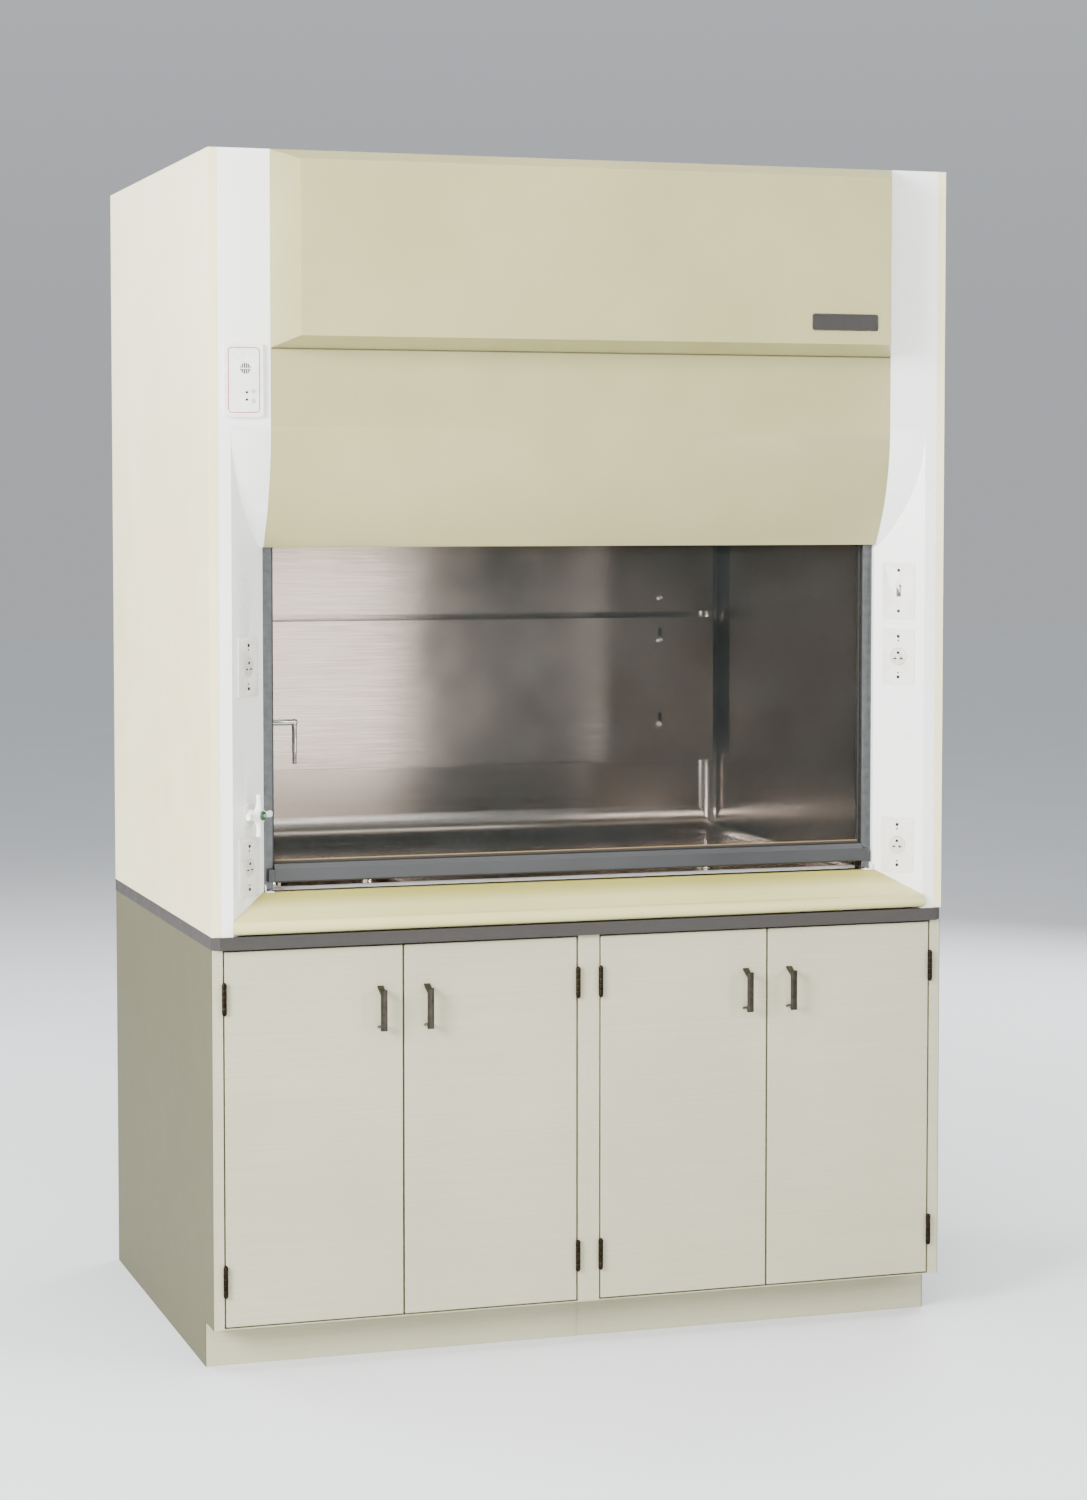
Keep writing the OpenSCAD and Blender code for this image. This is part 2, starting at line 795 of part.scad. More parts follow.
// A shaft with a grooved pulley near each end
module pulley_shaft(y) {
  color("#9A9C9E")
    translate([0, y, pulley_z])
      rotate([0, 90, 0]) {
        translate([0, 0, -cable_x - shaft_end]) cylinder(d = shaft_d, h = 2 * (cable_x + shaft_end));
        for (x = [-cable_x, cable_x])
          translate([0, 0, x])
            rotate_extrude()
              polygon([
                [0, -pulley_w / 2], [pulley_r + 4, -pulley_w / 2],
                [pulley_r - cable_d / 2 - 0.3, -cable_d / 2 - 0.5],
                [pulley_r - cable_d / 2 - 0.3, cable_d / 2 + 0.5],
                [pulley_r + 4, pulley_w / 2], [0, pulley_w / 2]
              ]);
      }
}

// Four hangers under the roof with a bore for a shaft
module pulley_brackets() {
  inner = cable_x - pulley_w / 2 - 3;
  top = zr - sheet;
  color("#8E9092")
    for (side = [-1, 1], y = [front_pulley_y, rear_pulley_y])
      handed(side)
        difference() {
          span([inner - 6, y - 14, pulley_z - 14], [inner, y + 14, top]);
          translate([inner - 6 - through, y, pulley_z])
            rotate([0, 90, 0]) cylinder(d = shaft_d + 2 * bore_fit, h = 6 + 2 * through);
        }
}

module counterweight() {
  color("#55585A")
    union() {
      span([-weight_w / 2, y_weight - weight_t / 2, weight_z - weight_h],
           [weight_w / 2, y_weight + weight_t / 2, weight_z]);
      for (x = [-cable_x, cable_x]) translate([x, y_weight, weight_z]) cylinder(d = 9, h = 10);
    }
}

// ---------- light ----------

module light_housing() {
  w = light_w / 2 + 20;
  d = light_d / 2 + 20;
  base = z_ceiling + sheet;
  color("#E4E4DE")
    difference() {
      span([-w, light_y - d, base], [w, light_y + d, base + light_h]);
      span([-w + sheet, light_y - d + sheet, base + sheet],
           [w - sheet, light_y + d - sheet, base + light_h - sheet]);
      span([-light_w / 2, light_y - light_d / 2, base - through],
           [light_w / 2, light_y + light_d / 2, base + 2 * sheet]);
    }
}

module light_tubes() {
  color("white")
    for (y = [-38, 38])
      translate([-light_w / 2 - 18, light_y + y, z_ceiling + 45])
        rotate([0, 90, 0]) cylinder(d = 26, h = light_w + 36);
}

module light_window() {
  color("#DDE6E8", 0.5)
    span([-light_w / 2, light_y - light_d / 2, z_ceiling],
         [light_w / 2, light_y + light_d / 2, z_ceiling + 5]);
}

// ---------- services ----------

// Where the outlets are, as [side, height]
OUTLETS = [[-1, outlet_low_z], [-1, outlet_high_z], [1, outlet_low_z], [1, outlet_high_z]];

module cover_plates() {
  color("#F1EFE9") {
    for (o = OUTLETS)
      on_bevel(o[0], o[1])
        out_plate(0, cover_t)
          difference() {
            round_rect(cover_w, cover_h, 4);
            circle(d = socket_d + 1);
            for (s = [-1, 1]) translate([0, s * screw_pitch / 2]) circle(d = 4, $fn = 24);
          }
    on_bevel(1, switch_z)
      out_plate(0, cover_t)
        difference() {
          round_rect(cover_w, cover_h, 4);
          square([10.4, 24], center = true);
          for (s = [-1, 1]) translate([0, s * screw_pitch / 2]) circle(d = 4, $fn = 24);
        }
  }
}

// Receptacles with a ground hole above two blade slots, and the switch's body
module wiring_devices() {
  color("#E9E6DE") {
    for (o = OUTLETS)
      on_bevel(o[0], o[1])
        difference() {
          union() {
            out_rod(socket_d, -12, cover_t + 1);
            out_plate(-12, -sheet) square([44, 68], center = true);
          }
          out_plate(-8, cover_t + 2)
            union() {
              translate([0, 8]) circle(d = 5, $fn = 24);
              for (s = [-1, 1]) translate([6.3 * s, -3]) square([1.8, 7.5], center = true);
            }
        }
    on_bevel(1, switch_z)
      difference() {
        span([-12, sheet, -34], [12, 26, 34]);
        span([-5, sheet - through, -13], [5, 17, 13]);
      }
  }
}

module plate_screws() {
  color("#C8C6C0")
    for (o = concat(OUTLETS, [[1, switch_z]]), s = [-1, 1])
      on_bevel(o[0], o[1])
        translate([0, 0, s * screw_pitch / 2]) {
          out_rod(3.4, -sheet * 4, cover_t, $fn = 24);
          out_rod(7, cover_t, cover_t + 1.3, $fn = 32);
        }
}

// Lever of the light switch; it rests tilted up, which is on
module switch_lever() {
  color("#E9E6DE")
    on_bevel(1, switch_z)
      translate([0, 10, 0]) {
        rotate([-25, 0, 0]) {
          out_rod(7, 0, 17, $fn = 32);
          translate([0, -17, 0]) rotate([90, 0, 0]) cylinder(d1 = 7, d2 = 8, h = 8);
        }
        rotate([0, 90, 0]) cylinder(d = 8, h = 9, center = true);
      }
}

module alarm_case() {
  color("#F4F2EC")
    translate([0, yf, z0 + alarm_z])
      difference() {
        translate([alarm_x, 0, 0]) out_plate(0, alarm_d) round_rect(alarm_w, alarm_h, 8);
        for (z = button_zs)
          translate([button_x, 0, z]) out_rod(button_d + 0.6, 2, alarm_d + through);
        for (ring = [0:3], k = [0:(ring == 0 ? 0 : 6 * ring - 1)])
          translate([alarm_x + 3, 0, 22])
            rotate([0, 360 * k / max(1, 6 * ring), 0])
              translate([ring * 3.2, 0, 0]) out_rod(1.8, 6, alarm_d + through, $fn = 16);
        for (z = lamp_zs) translate([lamp_x, 0, z]) out_rod(5, 7, alarm_d + through, $fn = 24);
      }
}

module alarm_button(z) {
  color("#C9C7C0")
    translate([button_x, yf, z0 + alarm_z + z])
      out_rod(button_d, 2 + button_travel + 0.5, alarm_d + button_travel + 0.6);
}

// Front-loaded valve: escutcheon and bonnet outside, body and supply pipe inside
module valve_body() {
  pipe_d = supply_d - 2;
  body_y = supply_y - 47;
  color("#D9D7D2") {
    on_bevel(-1, valve_z) {
      out_rod(28, -body_in - 4, 4);
      out_rod(46, 0, 4);
      out_rod(22, 4, 14);
      out_rod(8, 14, 27);
      translate([0, body_in, 0]) sphere(d = 28);
    }
    translate([supply_x, body_y, z0 + valve_z]) rotate([-90, 0, 0]) cylinder(d = pipe_d, h = 47);
    translate([supply_x, supply_y, z0 + valve_z]) sphere(d = pipe_d + 2);
    translate([supply_x, supply_y, supply_end + supply_len])
      cylinder(d = pipe_d, h = z0 + valve_z - supply_end - supply_len);
    translate([supply_x, supply_y, supply_end + supply_len]) cylinder(d = supply_d + 12, h = 8, $fn = 6);
    translate([supply_x, supply_y, supply_end]) cylinder(d = supply_d, h = supply_len);
  }
}

module valve_handle() {
  color("#F0EEE8")
    on_bevel(-1, valve_z)
      difference() {
        union() {
          out_rod(24, 17, 32);
          for (a = [0:90:270])
            rotate([0, a, 0])
              translate([0, -24, 0]) {
                cylinder(d = 9, h = 30);
                translate([0, 0, 30]) sphere(d = 12);
              }
        }
        out_rod(8 + 2 * bore_fit, 16, 28);
        out_rod(18, 30, 33);
      }
}

module valve_index() {
  color("#1F6B3C")
    on_bevel(-1, valve_z) out_rod(18, 30, 33);
}

// Supply along the outside of the liner, and the outlet over the sink
module water_spout() {
  run_x = -xi - 40;
  color("#D6D3CC") {
    translate([run_x, yf + post_d + 6, z0 + valve_z]) sphere(d = 12);
    translate([run_x, yf + post_d + 6, z0 + valve_z])
      rotate([-90, 0, 0]) cylinder(d = 10, h = sink_y - yf - post_d - 6);
    translate([run_x, sink_y, z0 + valve_z]) sphere(d = 12);
    translate([run_x, sink_y, z0 + valve_z]) cylinder(d = 10, h = tap_z - z0 - valve_z);
    translate([run_x, sink_y, tap_z]) sphere(d = 14);
    translate([run_x, sink_y, tap_z])
      rotate([0, 90, 0]) cylinder(d = 12, h = spout_reach + 40);
    translate([-xi, sink_y, tap_z]) rotate([0, 90, 0]) cylinder(d = 44, h = 5);
    translate([-xi + spout_reach, sink_y, tap_z]) sphere(d = 14);
    translate([-xi + spout_reach, sink_y, tap_z - 60]) cylinder(d = 10, h = 60);
    for (k = [0:4])
      translate([-xi + spout_reach, sink_y, tap_z - 84 + 5 * k])
        cylinder(d1 = 7, d2 = 11, h = 5);
  }
}

// ---------- base cabinets ----------

// Holes for the waste pipe and the water supply in a sheet or shelf at height z
module pipe_holes(z) {
  translate([sink_x, sink_y, z - through]) cylinder(d = tail_d + 30, h = pan + 2 * through);
  translate([supply_x, supply_y, z - through]) cylinder(d = supply_d + 14, h = pan + 2 * through);
}

// One cabinet whose left side is at x = left
module cabinet(left) {
  right = left + hw;
  color(putty)
    union() {
      for (x = [left, right - stile_w])
        difference() {
          span([x, yc, kick_h], [x + stile_w, yc + frame_d, cab_h]);
          span([x + sheet, yc + sheet, kick_h + sheet],
               [x + stile_w - sheet, yc + frame_d + through, cab_h - sheet]);
        }
      for (x = [left, right - sheet])
        difference() {
          span([x, yc + frame_d, 0], [x + sheet, yk, cab_h]);
          span([x - through, yf, -through], [x + sheet + through, yc + kick_d, kick_h]);
        }
      difference() {
        span([left, yc, kick_h], [right, yk, kick_h + sheet]);
        pipe_holes(kick_h);
      }
      span([left, yk - sheet, 0], [right, yk, cab_h]);
      for (z = [kick_h, cab_h - 25])
        span([left + stile_w, yc + door_t + 1.5, z], [right - stile_w, yc + door_t + 3, z + 25]);
      span([left + sheet, yc + door_t + 1.5, cab_h - sheet], [right - sheet, yc + 45, cab_h]);
      span([left + sheet, yk - 60, cab_h - sheet], [right - sheet, yk, cab_h]);
    }
}

module cabinet_shelves() {
  color(putty)
    for (left = [-hw, 0])
      difference() {
        span([left + sheet, yc + 120, shelf_z - 20], [left + hw - sheet, yk - sheet, shelf_z]);
        span([left + 2 * sheet, yc + 120 + sheet, shelf_z - 20 - through],
             [left + hw - 2 * sheet, yk - 2 * sheet, shelf_z - sheet]);
        pipe_holes(shelf_z - pan / 2);
      }
}

module toe_boards() {
  color("#BDBBAD")
    for (left = [-hw, 0])
      span([left + sheet, yc + kick_d, 0], [left + hw - sheet, yc + kick_d + 2, kick_h]);
}

// Doors 1 to 4 from the left; odd ones hang on their left edge
function cab_left(n) = n <= 2 ? -hw : 0;
function swing(n) = n % 2 == 1 ? 1 : -1;
function hinge_x(n) = swing(n) > 0
  ? cab_left(n) + stile_w + hinge_gap / 2
  : cab_left(n) + hw - stile_w - hinge_gap / 2;

// Carries a door drawn from its hinge axis towards +X to its place
module at_hinge(n) {
  translate([hinge_x(n), 0, 0]) handed(swing(n)) children();
}

module door_panel(n) {
  color(putty)
    at_hinge(n)
      translate([hinge_gap / 2, yc, door_z]) {
        difference() {
          cube([door_w, door_t, door_h]);
          translate([sheet, sheet, sheet])
            cube([door_w - 2 * sheet, door_t, door_h - 2 * sheet]);
        }
        translate([sheet, door_t - sheet, sheet])
          cube([door_w - 2 * sheet, sheet, door_h - 2 * sheet]);
      }
}

// Heights of the middles of a door's two hinges
hinge_zs = [door_z + hinge_end, door_z + door_h - hinge_end];

// Knuckles of the given numbers, counted from the bottom
module knuckles(numbers, bore) {
  for (k = numbers)
    translate([0, 0, -hinge_h / 2 + k * (knuckle_h + knuckle_gap)])
      difference() {
        cylinder(r = knuckle_r, h = knuckle_h);
        if (bore > 0) translate([0, 0, -through]) cylinder(r = bore, h = knuckle_h + 2 * through);
      }
}

// A leaf beside the axis, joined to its knuckles
module leaf(numbers) {
  near = knuckle_r + 0.6;
  translate([thin, near, -hinge_h / 2]) cube([leaf_t, frame_d - 2, hinge_h]);
  for (k = numbers)
    translate([thin, pin_r + 1, -hinge_h / 2 + k * (knuckle_h + knuckle_gap)])
      cube([leaf_t, near - pin_r, knuckle_h]);
}

// The leaves on the face frames, with the pins
module hinge_frames() {
  color("#4A3A2C")
    for (n = [1:4], z = hinge_zs)
      at_hinge(n)
        translate([0, hinge_y, z]) {
          knuckles([0, 2, 4], 0);
          mirror([1, 0, 0]) leaf([0, 2, 4]);
          translate([0, 0, -hinge_h / 2 - 1]) cylinder(r = pin_r, h = hinge_h + 2);
        }
}

// A door's hinge leaves and its pull
module door_fittings(n) {
  s = 0.30 * pull_out;
  color("#6A6660") {
    for (z = hinge_zs)
      at_hinge(n)
        translate([0, hinge_y, z]) {
          knuckles([1, 3], pin_r + bore_fit);
          leaf([1, 3]);
        }
    at_hinge(n)
      translate([hinge_gap / 2 + door_w - pull_edge - pull_w / 2, yc, door_z + door_h - pull_top - pull_h])
        rotate([90, 0, 90])
          linear_extrude(pull_w)
            difference() {
              polygon([
                [0, 0], [-pull_out, s], [-pull_out, pull_h - 1.7 * s], [0, pull_h]
              ]);
              polygon([
                [1, 1.4 * pull_t], [-pull_out + pull_t, s + pull_t],
                [-pull_out + pull_t, pull_h - 1.7 * s - pull_t], [1, pull_h - 1.5 * pull_t]
              ]);
            }
  }
}

// ---------- the parts ----------

side_panel(-1);  // side_panel_left
side_panel(1);  // side_panel_right
rear_panel();
rear_access_panel();
roof_panel();
exhaust_collar();
corner_post(-1);  // corner_post_left
corner_post(1);  // corner_post_right
header_upper_panel();
header_lower_panel();
name_plate();
liner_side(-1);  // liner_side_left
liner_side(1);  // liner_side_right
liner_rear();
liner_ceiling();
baffle_upper();
baffle_studs();
baffle_lower();
work_surface();
sink_bowl();
sink_drain();
worktop_slab();
airfoil_sill();
sash_tracks();
sash_glass();
sash_frame();
sash_rail();
sash_cables();
pulley_shaft(front_pulley_y);  // front_pulleys
pulley_shaft(rear_pulley_y);  // rear_pulleys
pulley_brackets();
counterweight();
light_housing();
light_tubes();
light_window();
cover_plates();
wiring_devices();
plate_screws();
switch_lever();
alarm_case();
alarm_button(button_zs[0]);  // alarm_button_test
alarm_button(button_zs[1]);  // alarm_button_mute
valve_body();
valve_handle();
valve_index();
water_spout();
cabinet(-hw);  // cabinet_left
cabinet(0);  // cabinet_right
cabinet_shelves();
toe_boards();
hinge_frames();
door_panel(1);  // door_1_panel
door_fittings(1);  // door_1_fittings
door_panel(2);  // door_2_panel
door_fittings(2);  // door_2_fittings
door_panel(3);  // door_3_panel
door_fittings(3);  // door_3_fittings
door_panel(4);  // door_4_panel
door_fittings(4);  // door_4_fittings
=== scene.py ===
"""Looks of a bench fume hood on two steel base cabinets.

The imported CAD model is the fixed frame. This script gives every CAD piece its finish, replaces the small
fittings with detailed ones and adds the trim that the CAD model leaves out.
"""

import logging
import math
from dataclasses import dataclass
from enum import Enum
from typing import Callable, Iterable, Sequence

import bpy
from mathutils import Euler, Matrix, Vector


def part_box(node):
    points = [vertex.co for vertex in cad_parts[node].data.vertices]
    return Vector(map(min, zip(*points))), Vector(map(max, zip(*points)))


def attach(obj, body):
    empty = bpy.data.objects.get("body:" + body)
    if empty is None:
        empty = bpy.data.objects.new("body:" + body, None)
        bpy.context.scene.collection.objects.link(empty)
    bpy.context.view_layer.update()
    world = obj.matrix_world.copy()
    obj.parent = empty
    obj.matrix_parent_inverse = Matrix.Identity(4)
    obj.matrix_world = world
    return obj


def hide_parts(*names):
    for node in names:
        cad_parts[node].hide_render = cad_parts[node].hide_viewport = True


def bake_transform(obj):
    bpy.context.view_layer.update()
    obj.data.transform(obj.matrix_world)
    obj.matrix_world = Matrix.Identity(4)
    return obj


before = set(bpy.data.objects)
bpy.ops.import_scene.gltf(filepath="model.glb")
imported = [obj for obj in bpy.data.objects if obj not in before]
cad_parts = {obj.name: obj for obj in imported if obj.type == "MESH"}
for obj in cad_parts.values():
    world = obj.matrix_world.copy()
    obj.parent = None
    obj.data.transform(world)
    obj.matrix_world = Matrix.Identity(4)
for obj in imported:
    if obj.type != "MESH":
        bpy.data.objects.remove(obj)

log = logging.getLogger("fume_hood")
MM = 0.001
Point = tuple[float, float, float]
Colour = tuple[float, float, float, float]
Socket = bpy.types.NodeSocket


# ---------------------------------------------------------------- small helpers

def linear(hex_colour: str) -> Colour:
    """Turns an sRGB hex colour into the linear values that shaders take.

    Args:
        hex_colour: a colour such as "#CBC9BB".

    Returns:
        Linear red, green, blue and an alpha of 1.
    """
    parts = [int(hex_colour[i:i + 2], 16) / 255 for i in (1, 3, 5)]
    curve = [c / 12.92 if c <= 0.04045 else ((c + 0.055) / 1.055) ** 2.4 for c in parts]
    return (curve[0], curve[1], curve[2], 1.0)


def add_node(tree: bpy.types.NodeTree, kind: str, links: dict | None = None, **settings: object) -> bpy.types.Node:
    """Adds one shader node.

    Args:
        tree: the node tree to add to.
        kind: the node's type name, such as "ShaderNodeTexNoise".
        links: input name or number to a socket to link from, or to a value to set.
        settings: properties of the node.

    Returns:
        The new node.
    """
    node = tree.nodes.new(kind)
    for key, value in settings.items():
        setattr(node, key, value)
    for key, value in (links or {}).items():
        if isinstance(value, Socket):
            tree.links.new(value, node.inputs[key])
        else:
            node.inputs[key].default_value = value
    return node


class Slot(Enum):
    """Material slot names of the record; no piece here takes its finish from them."""

    IVORY = "ivory_enamel"
    WHITE = "white_enamel"
    SAGE = "sage_enamel"
    STAINLESS = "stainless"
    BRIGHT = "bright_steel"
    ALLOY = "track_alloy"
    RAIL = "rail_enamel"
    ZINC = "zinc_steel"
    PLATE = "plate_plastic"
    ALARM = "alarm_plastic"
    BUTTON = "button_plastic"
    VALVE = "valve_enamel"
    INDEX = "index_green"
    PUTTY = "putty_enamel"
    BRONZE = "dark_bronze"
    PULL = "pull_metal"
    FILM = "plate_film"


# ---------------------------------------------------------------- finishes

class Mixer:
    """One material's nodes: a Principled shader, and patterns laid out in metres on Object coordinates."""

    def __init__(self, name: str) -> None:
        """Starts a material of that name with its shader."""
        self.material = bpy.data.materials.new(name)
        self.material.use_nodes = True
        self.tree = self.material.node_tree
        self.tree.nodes.clear()
        self.shader = add_node(self.tree, "ShaderNodeBsdfPrincipled")
        add_node(self.tree, "ShaderNodeOutputMaterial", {"Surface": self.shader.outputs[0]})
        self.place = add_node(self.tree, "ShaderNodeTexCoord").outputs["Object"]

    def put(self, name: str, value: Socket | float) -> None:
        """Links a pattern to one of the shader's inputs, or sets the input itself when the value is even."""
        if isinstance(value, Socket):
            self.tree.links.new(value, self.shader.inputs[name])
        else:
            self.shader.inputs[name].default_value = value

    def mottled(self, spacing: float, detail: float = 4, stretch: Point = (1, 1, 1)) -> Socket:
        """Adds a noise whose grains are a real distance apart.

        Args:
            spacing: distance between grains in metres.
            detail: octaves of the noise.
            stretch: how much finer the grains are along each axis.

        Returns:
            The noise's value socket.
        """
        mapped = add_node(self.tree, "ShaderNodeMapping", {"Vector": self.place, "Scale": stretch})
        return add_node(self.tree, "ShaderNodeTexNoise", {
            "Vector": mapped.outputs[0], "Scale": 1 / spacing, "Detail": detail, "Roughness": 0.55}).outputs["Fac"]

    def graded(self, value: Socket, low: float = 0.0, high: float = 1.0) -> Socket:
        """Maps a noise's middle band to a range of values.

        Args:
            value: a noise value.
            low: result at the band's foot and below.
            high: result at the band's top and above.

        Returns:
            The mapped value socket.
        """
        return add_node(self.tree, "ShaderNodeMapRange", {
            "Value": value, "From Min": 0.3, "From Max": 0.7, "To Min": low, "To Max": high}).outputs[0]

    def blended(self, share: Socket, first: str, second: str) -> Socket:
        """Mixes two sRGB hex colours.

        Args:
            share: 0 for the first colour, 1 for the second.
            first: the first colour.
            second: the second colour.

        Returns:
            The colour socket.
        """
        return add_node(self.tree, "ShaderNodeMix", {0: share, 6: linear(first), 7: linear(second)},
                        data_type="RGBA").outputs[2]

    def washed(self, under: Socket, wash: Colour, share: Socket) -> Socket:
        """Multiplies a colour by a thin wash.

        Args:
            under: the colour below.
            wash: the wash's linear colour.
            share: how much of the wash shows.

        Returns:
            The colour socket.
        """
        return add_node(self.tree, "ShaderNodeMix", {0: share, 6: under, 7: wash}, data_type="RGBA",
                        blend_type="MULTIPLY").outputs[2]

    def raised(self, height: Socket, depth: float, strength: float) -> None:
        """Adds relief to the shader.

        Args:
            height: the height pattern, 0 to 1.
            depth: height in metres at 1.
            strength: share of the relief that shows.
        """
        bump = add_node(self.tree, "ShaderNodeBump", {"Height": height, "Distance": depth, "Strength": strength})
        self.put("Normal", bump.outputs[0])


@dataclass(frozen=True)
class Finish:
    """Common part of a finish: its name, its two tones and how its patterns go on."""

    name: str
    colour: str = "#E8E2CD"
    shade: str = "#DAD3BB"

    def build(self) -> bpy.types.Material:
        """Makes the material."""
        mix = Mixer(self.name)
        self.pattern(mix)
        return mix.material

    def pattern(self, mix: Mixer) -> None:
        """Sets the shader's values and links its patterns."""
        raise NotImplementedError


@dataclass(frozen=True)
class PowderCoat(Finish):
    """Baked powder coat on folded steel: satin, with the fine orange peel of a sprayed and cured film."""

    roughness: float = 0.38
    streak: float = 0.0
    # painted shade: a band along one axis, set by place, that is multiplied by a deeper tone
    painted_shade_zone: tuple[str, float, float] | None = None
    painted_shade_tone: str = "#FFFFFF"
    gloss_drift: float = 0.06
    fleck: Colour = (0.3, 0.28, 0.24, 1)
    streak_wash: Colour = (0.62, 0.60, 0.54, 1)

    def pattern(self, mix: Mixer) -> None:
        """Broad tint drift, orange peel, painted shade along one axis where one is set, and faint handling marks in the
        gloss.
        """
        drift = mix.blended(mix.graded(mix.mottled(0.45, 3)), self.colour, self.shade)
        out = mix.washed(drift, self.fleck, mix.graded(mix.mottled(2.2 * MM, 2), 0.0, 0.10))
        if self.streak:
            # faint lines along the sheet, long and low, drawn 5 mm apart so that they show
            lines = mix.mottled(5 * MM, 3, (0.012, 0.012, 1))
            out = mix.washed(out, self.streak_wash, mix.graded(lines, 0.0, self.streak))
        if self.painted_shade_zone:
            # painted shade: a deeper tone by place, along one axis from a given start to an end in metres, standing in
            # for shade
            axis, start, end = self.painted_shade_zone
            across = add_node(mix.tree, "ShaderNodeSeparateXYZ", {0: mix.place}).outputs[axis]
            aside = add_node(mix.tree, "ShaderNodeMath", {0: across}, operation="ABSOLUTE").outputs[0]
            share = add_node(mix.tree, "ShaderNodeMapRange", {"Value": aside, "From Min": start, "From Max": end})
            out = mix.washed(out, linear(self.painted_shade_tone), share.outputs[0])
        mix.put("Base Color", out)
        marks = mix.mottled(0.09, 5)
        mix.put("Roughness", mix.graded(marks, self.roughness - self.gloss_drift, self.roughness + self.gloss_drift))
        mix.put("IOR", 1.5)
        mix.raised(mix.mottled(1.6 * MM, 2), 0.05 * MM, 0.35)


@dataclass(frozen=True)
class BrushedStainless(Finish):
    """Rolled and belt-brushed stainless steel: long fine scratches stretch its highlights across them."""

    colour: str = "#B8A99E"
    shade: str = "#A8988C"
    roughness: float = 0.15
    grain: Point = (0.015, 1, 1)
    along: Point | None = (1, 0, 0)
    anisotropy: float = 0.8

    def pattern(self, mix: Mixer) -> None:
        """Brush lines in colour and gloss, over slow smudges; the lines are drawn 2 mm apart so that they show."""
        lines = mix.mottled(2 * MM, 2, self.grain)
        smudge = mix.mottled(0.22, 3)
        mix.put("Base Color", mix.blended(mix.graded(lines), self.colour, self.shade))
        gloss = add_node(mix.tree, "ShaderNodeMath", {0: mix.graded(smudge, -0.03, 0.04), 1: mix.graded(
            lines, self.roughness, self.roughness + 0.03)}, operation="ADD")
        mix.put("Roughness", gloss.outputs[0])
        mix.put("Metallic", 1.0)
        mix.put("Anisotropic", self.anisotropy)
        mix.put("Anisotropic Rotation", 0.25)
        if self.along:
            tangent = add_node(mix.tree, "ShaderNodeCombineXYZ", dict(zip("XYZ", self.along)))
        else:
            tangent = add_node(mix.tree, "ShaderNodeTangent", direction_type="RADIAL", axis="Z")
        mix.put("Tangent", tangent.outputs[0])
        mix.raised(lines, 0.004 * MM, 0.25)


@dataclass(frozen=True)
class CastEpoxy(Finish):
    """Cast and sanded epoxy resin worktop: near black, low sheen, with a fine mineral fleck."""

    def pattern(self, mix: Mixer) -> None:
        """Fleck in the colour, sanding haze in the gloss."""
        fleck = mix.mottled(1.8 * MM, 3)
        mix.put("Base Color", mix.blended(mix.graded(fleck), self.colour, self.shade))
        mix.put("Roughness", mix.graded(mix.mottled(0.05, 4), 0.50, 0.60))
        mix.put("IOR", 1.55)
        mix.raised(fleck, 0.04 * MM, 0.3)


@dataclass(frozen=True)
class MouldedPlastic(Finish):
    """Injection-moulded thermoplastic: an even body colour with a faint spark-eroded texture."""

    roughness: float = 0.32

    def pattern(self, mix: Mixer) -> None:
        """Slight yellowing, fine texture and rubbed gloss."""
        mix.put("Base Color", mix.blended(mix.graded(mix.mottled(30 * MM, 3)), self.colour, self.shade))
        mix.put("Roughness", mix.graded(mix.mottled(8 * MM, 3), self.roughness - 0.06, self.roughness + 0.06))
        mix.put("IOR", 1.49)
        mix.raised(mix.mottled(0.8 * MM, 2), 0.008 * MM, 0.2)


@dataclass(frozen=True)
class PlainMetal(Finish):
    """Plated, anodised or polished metal: its colour, gloss and the direction of its polishing marks."""

    roughness: float = 0.3
    grain: Point = (1, 1, 1)

    def pattern(self, mix: Mixer) -> None:
        """Tarnish in the colour, polishing marks in the gloss."""
        mix.put("Base Color", mix.blended(mix.graded(mix.mottled(14 * MM, 5)), self.colour, self.shade))
        marks = mix.mottled(1.2 * MM, 3, self.grain)
        mix.put("Roughness", mix.graded(marks, self.roughness - 0.06, self.roughness + 0.08))
        mix.put("Metallic", 1.0)
        mix.raised(marks, 0.01 * MM, 0.4)


@dataclass(frozen=True)
class ClearGlass(Finish):
    """Laminated float glass: all but clear, a faint green-grey body, wiping haze that catches the light."""

    haze: tuple[float, float] = (0.008, 0.018)

    def pattern(self, mix: Mixer) -> None:
        """A thin see-through skin with slight haze."""
        haze = mix.mottled(0.12, 5)
        mix.put("Alpha", mix.graded(haze, *self.haze))
        mix.put("Base Color", mix.blended(haze, self.colour, self.shade))
        mix.put("Roughness", 0.02)
        mix.put("IOR", 1.52)


@dataclass(frozen=True)
class LitGlass(Finish):
    """White phosphor-coated tube glass, or frosted glass lit from behind: it glows softly."""

    colour: str = "#FFFDF4"
    shade: str = "#EFEDE2"
    glow: float = 3.0
    alpha: float = 1.0

    def pattern(self, mix: Mixer) -> None:
        """Emission with a faint unevenness of the coating."""
        colour = mix.blended(mix.mottled(20 * MM, 3), self.colour, self.shade)
        mix.put("Base Color", colour)
        mix.put("Emission Color", colour)
        mix.put("Emission Strength", self.glow)
        mix.put("Roughness", 0.4)
        mix.put("Alpha", self.alpha)


@dataclass(frozen=True)
class Rubber(Finish):
    """Extruded EPDM glazing rubber: dark, matt, with fine extrusion lines."""

    def pattern(self, mix: Mixer) -> None:
        """Bloom in the colour and lines along X."""
        mix.put("Base Color", mix.blended(mix.mottled(12 * MM, 4), self.colour, self.shade))
        mix.put("Roughness", 0.75)
        mix.raised(mix.mottled(0.8 * MM, 2, (0.02, 1, 1)), 0.05 * MM, 0.4)


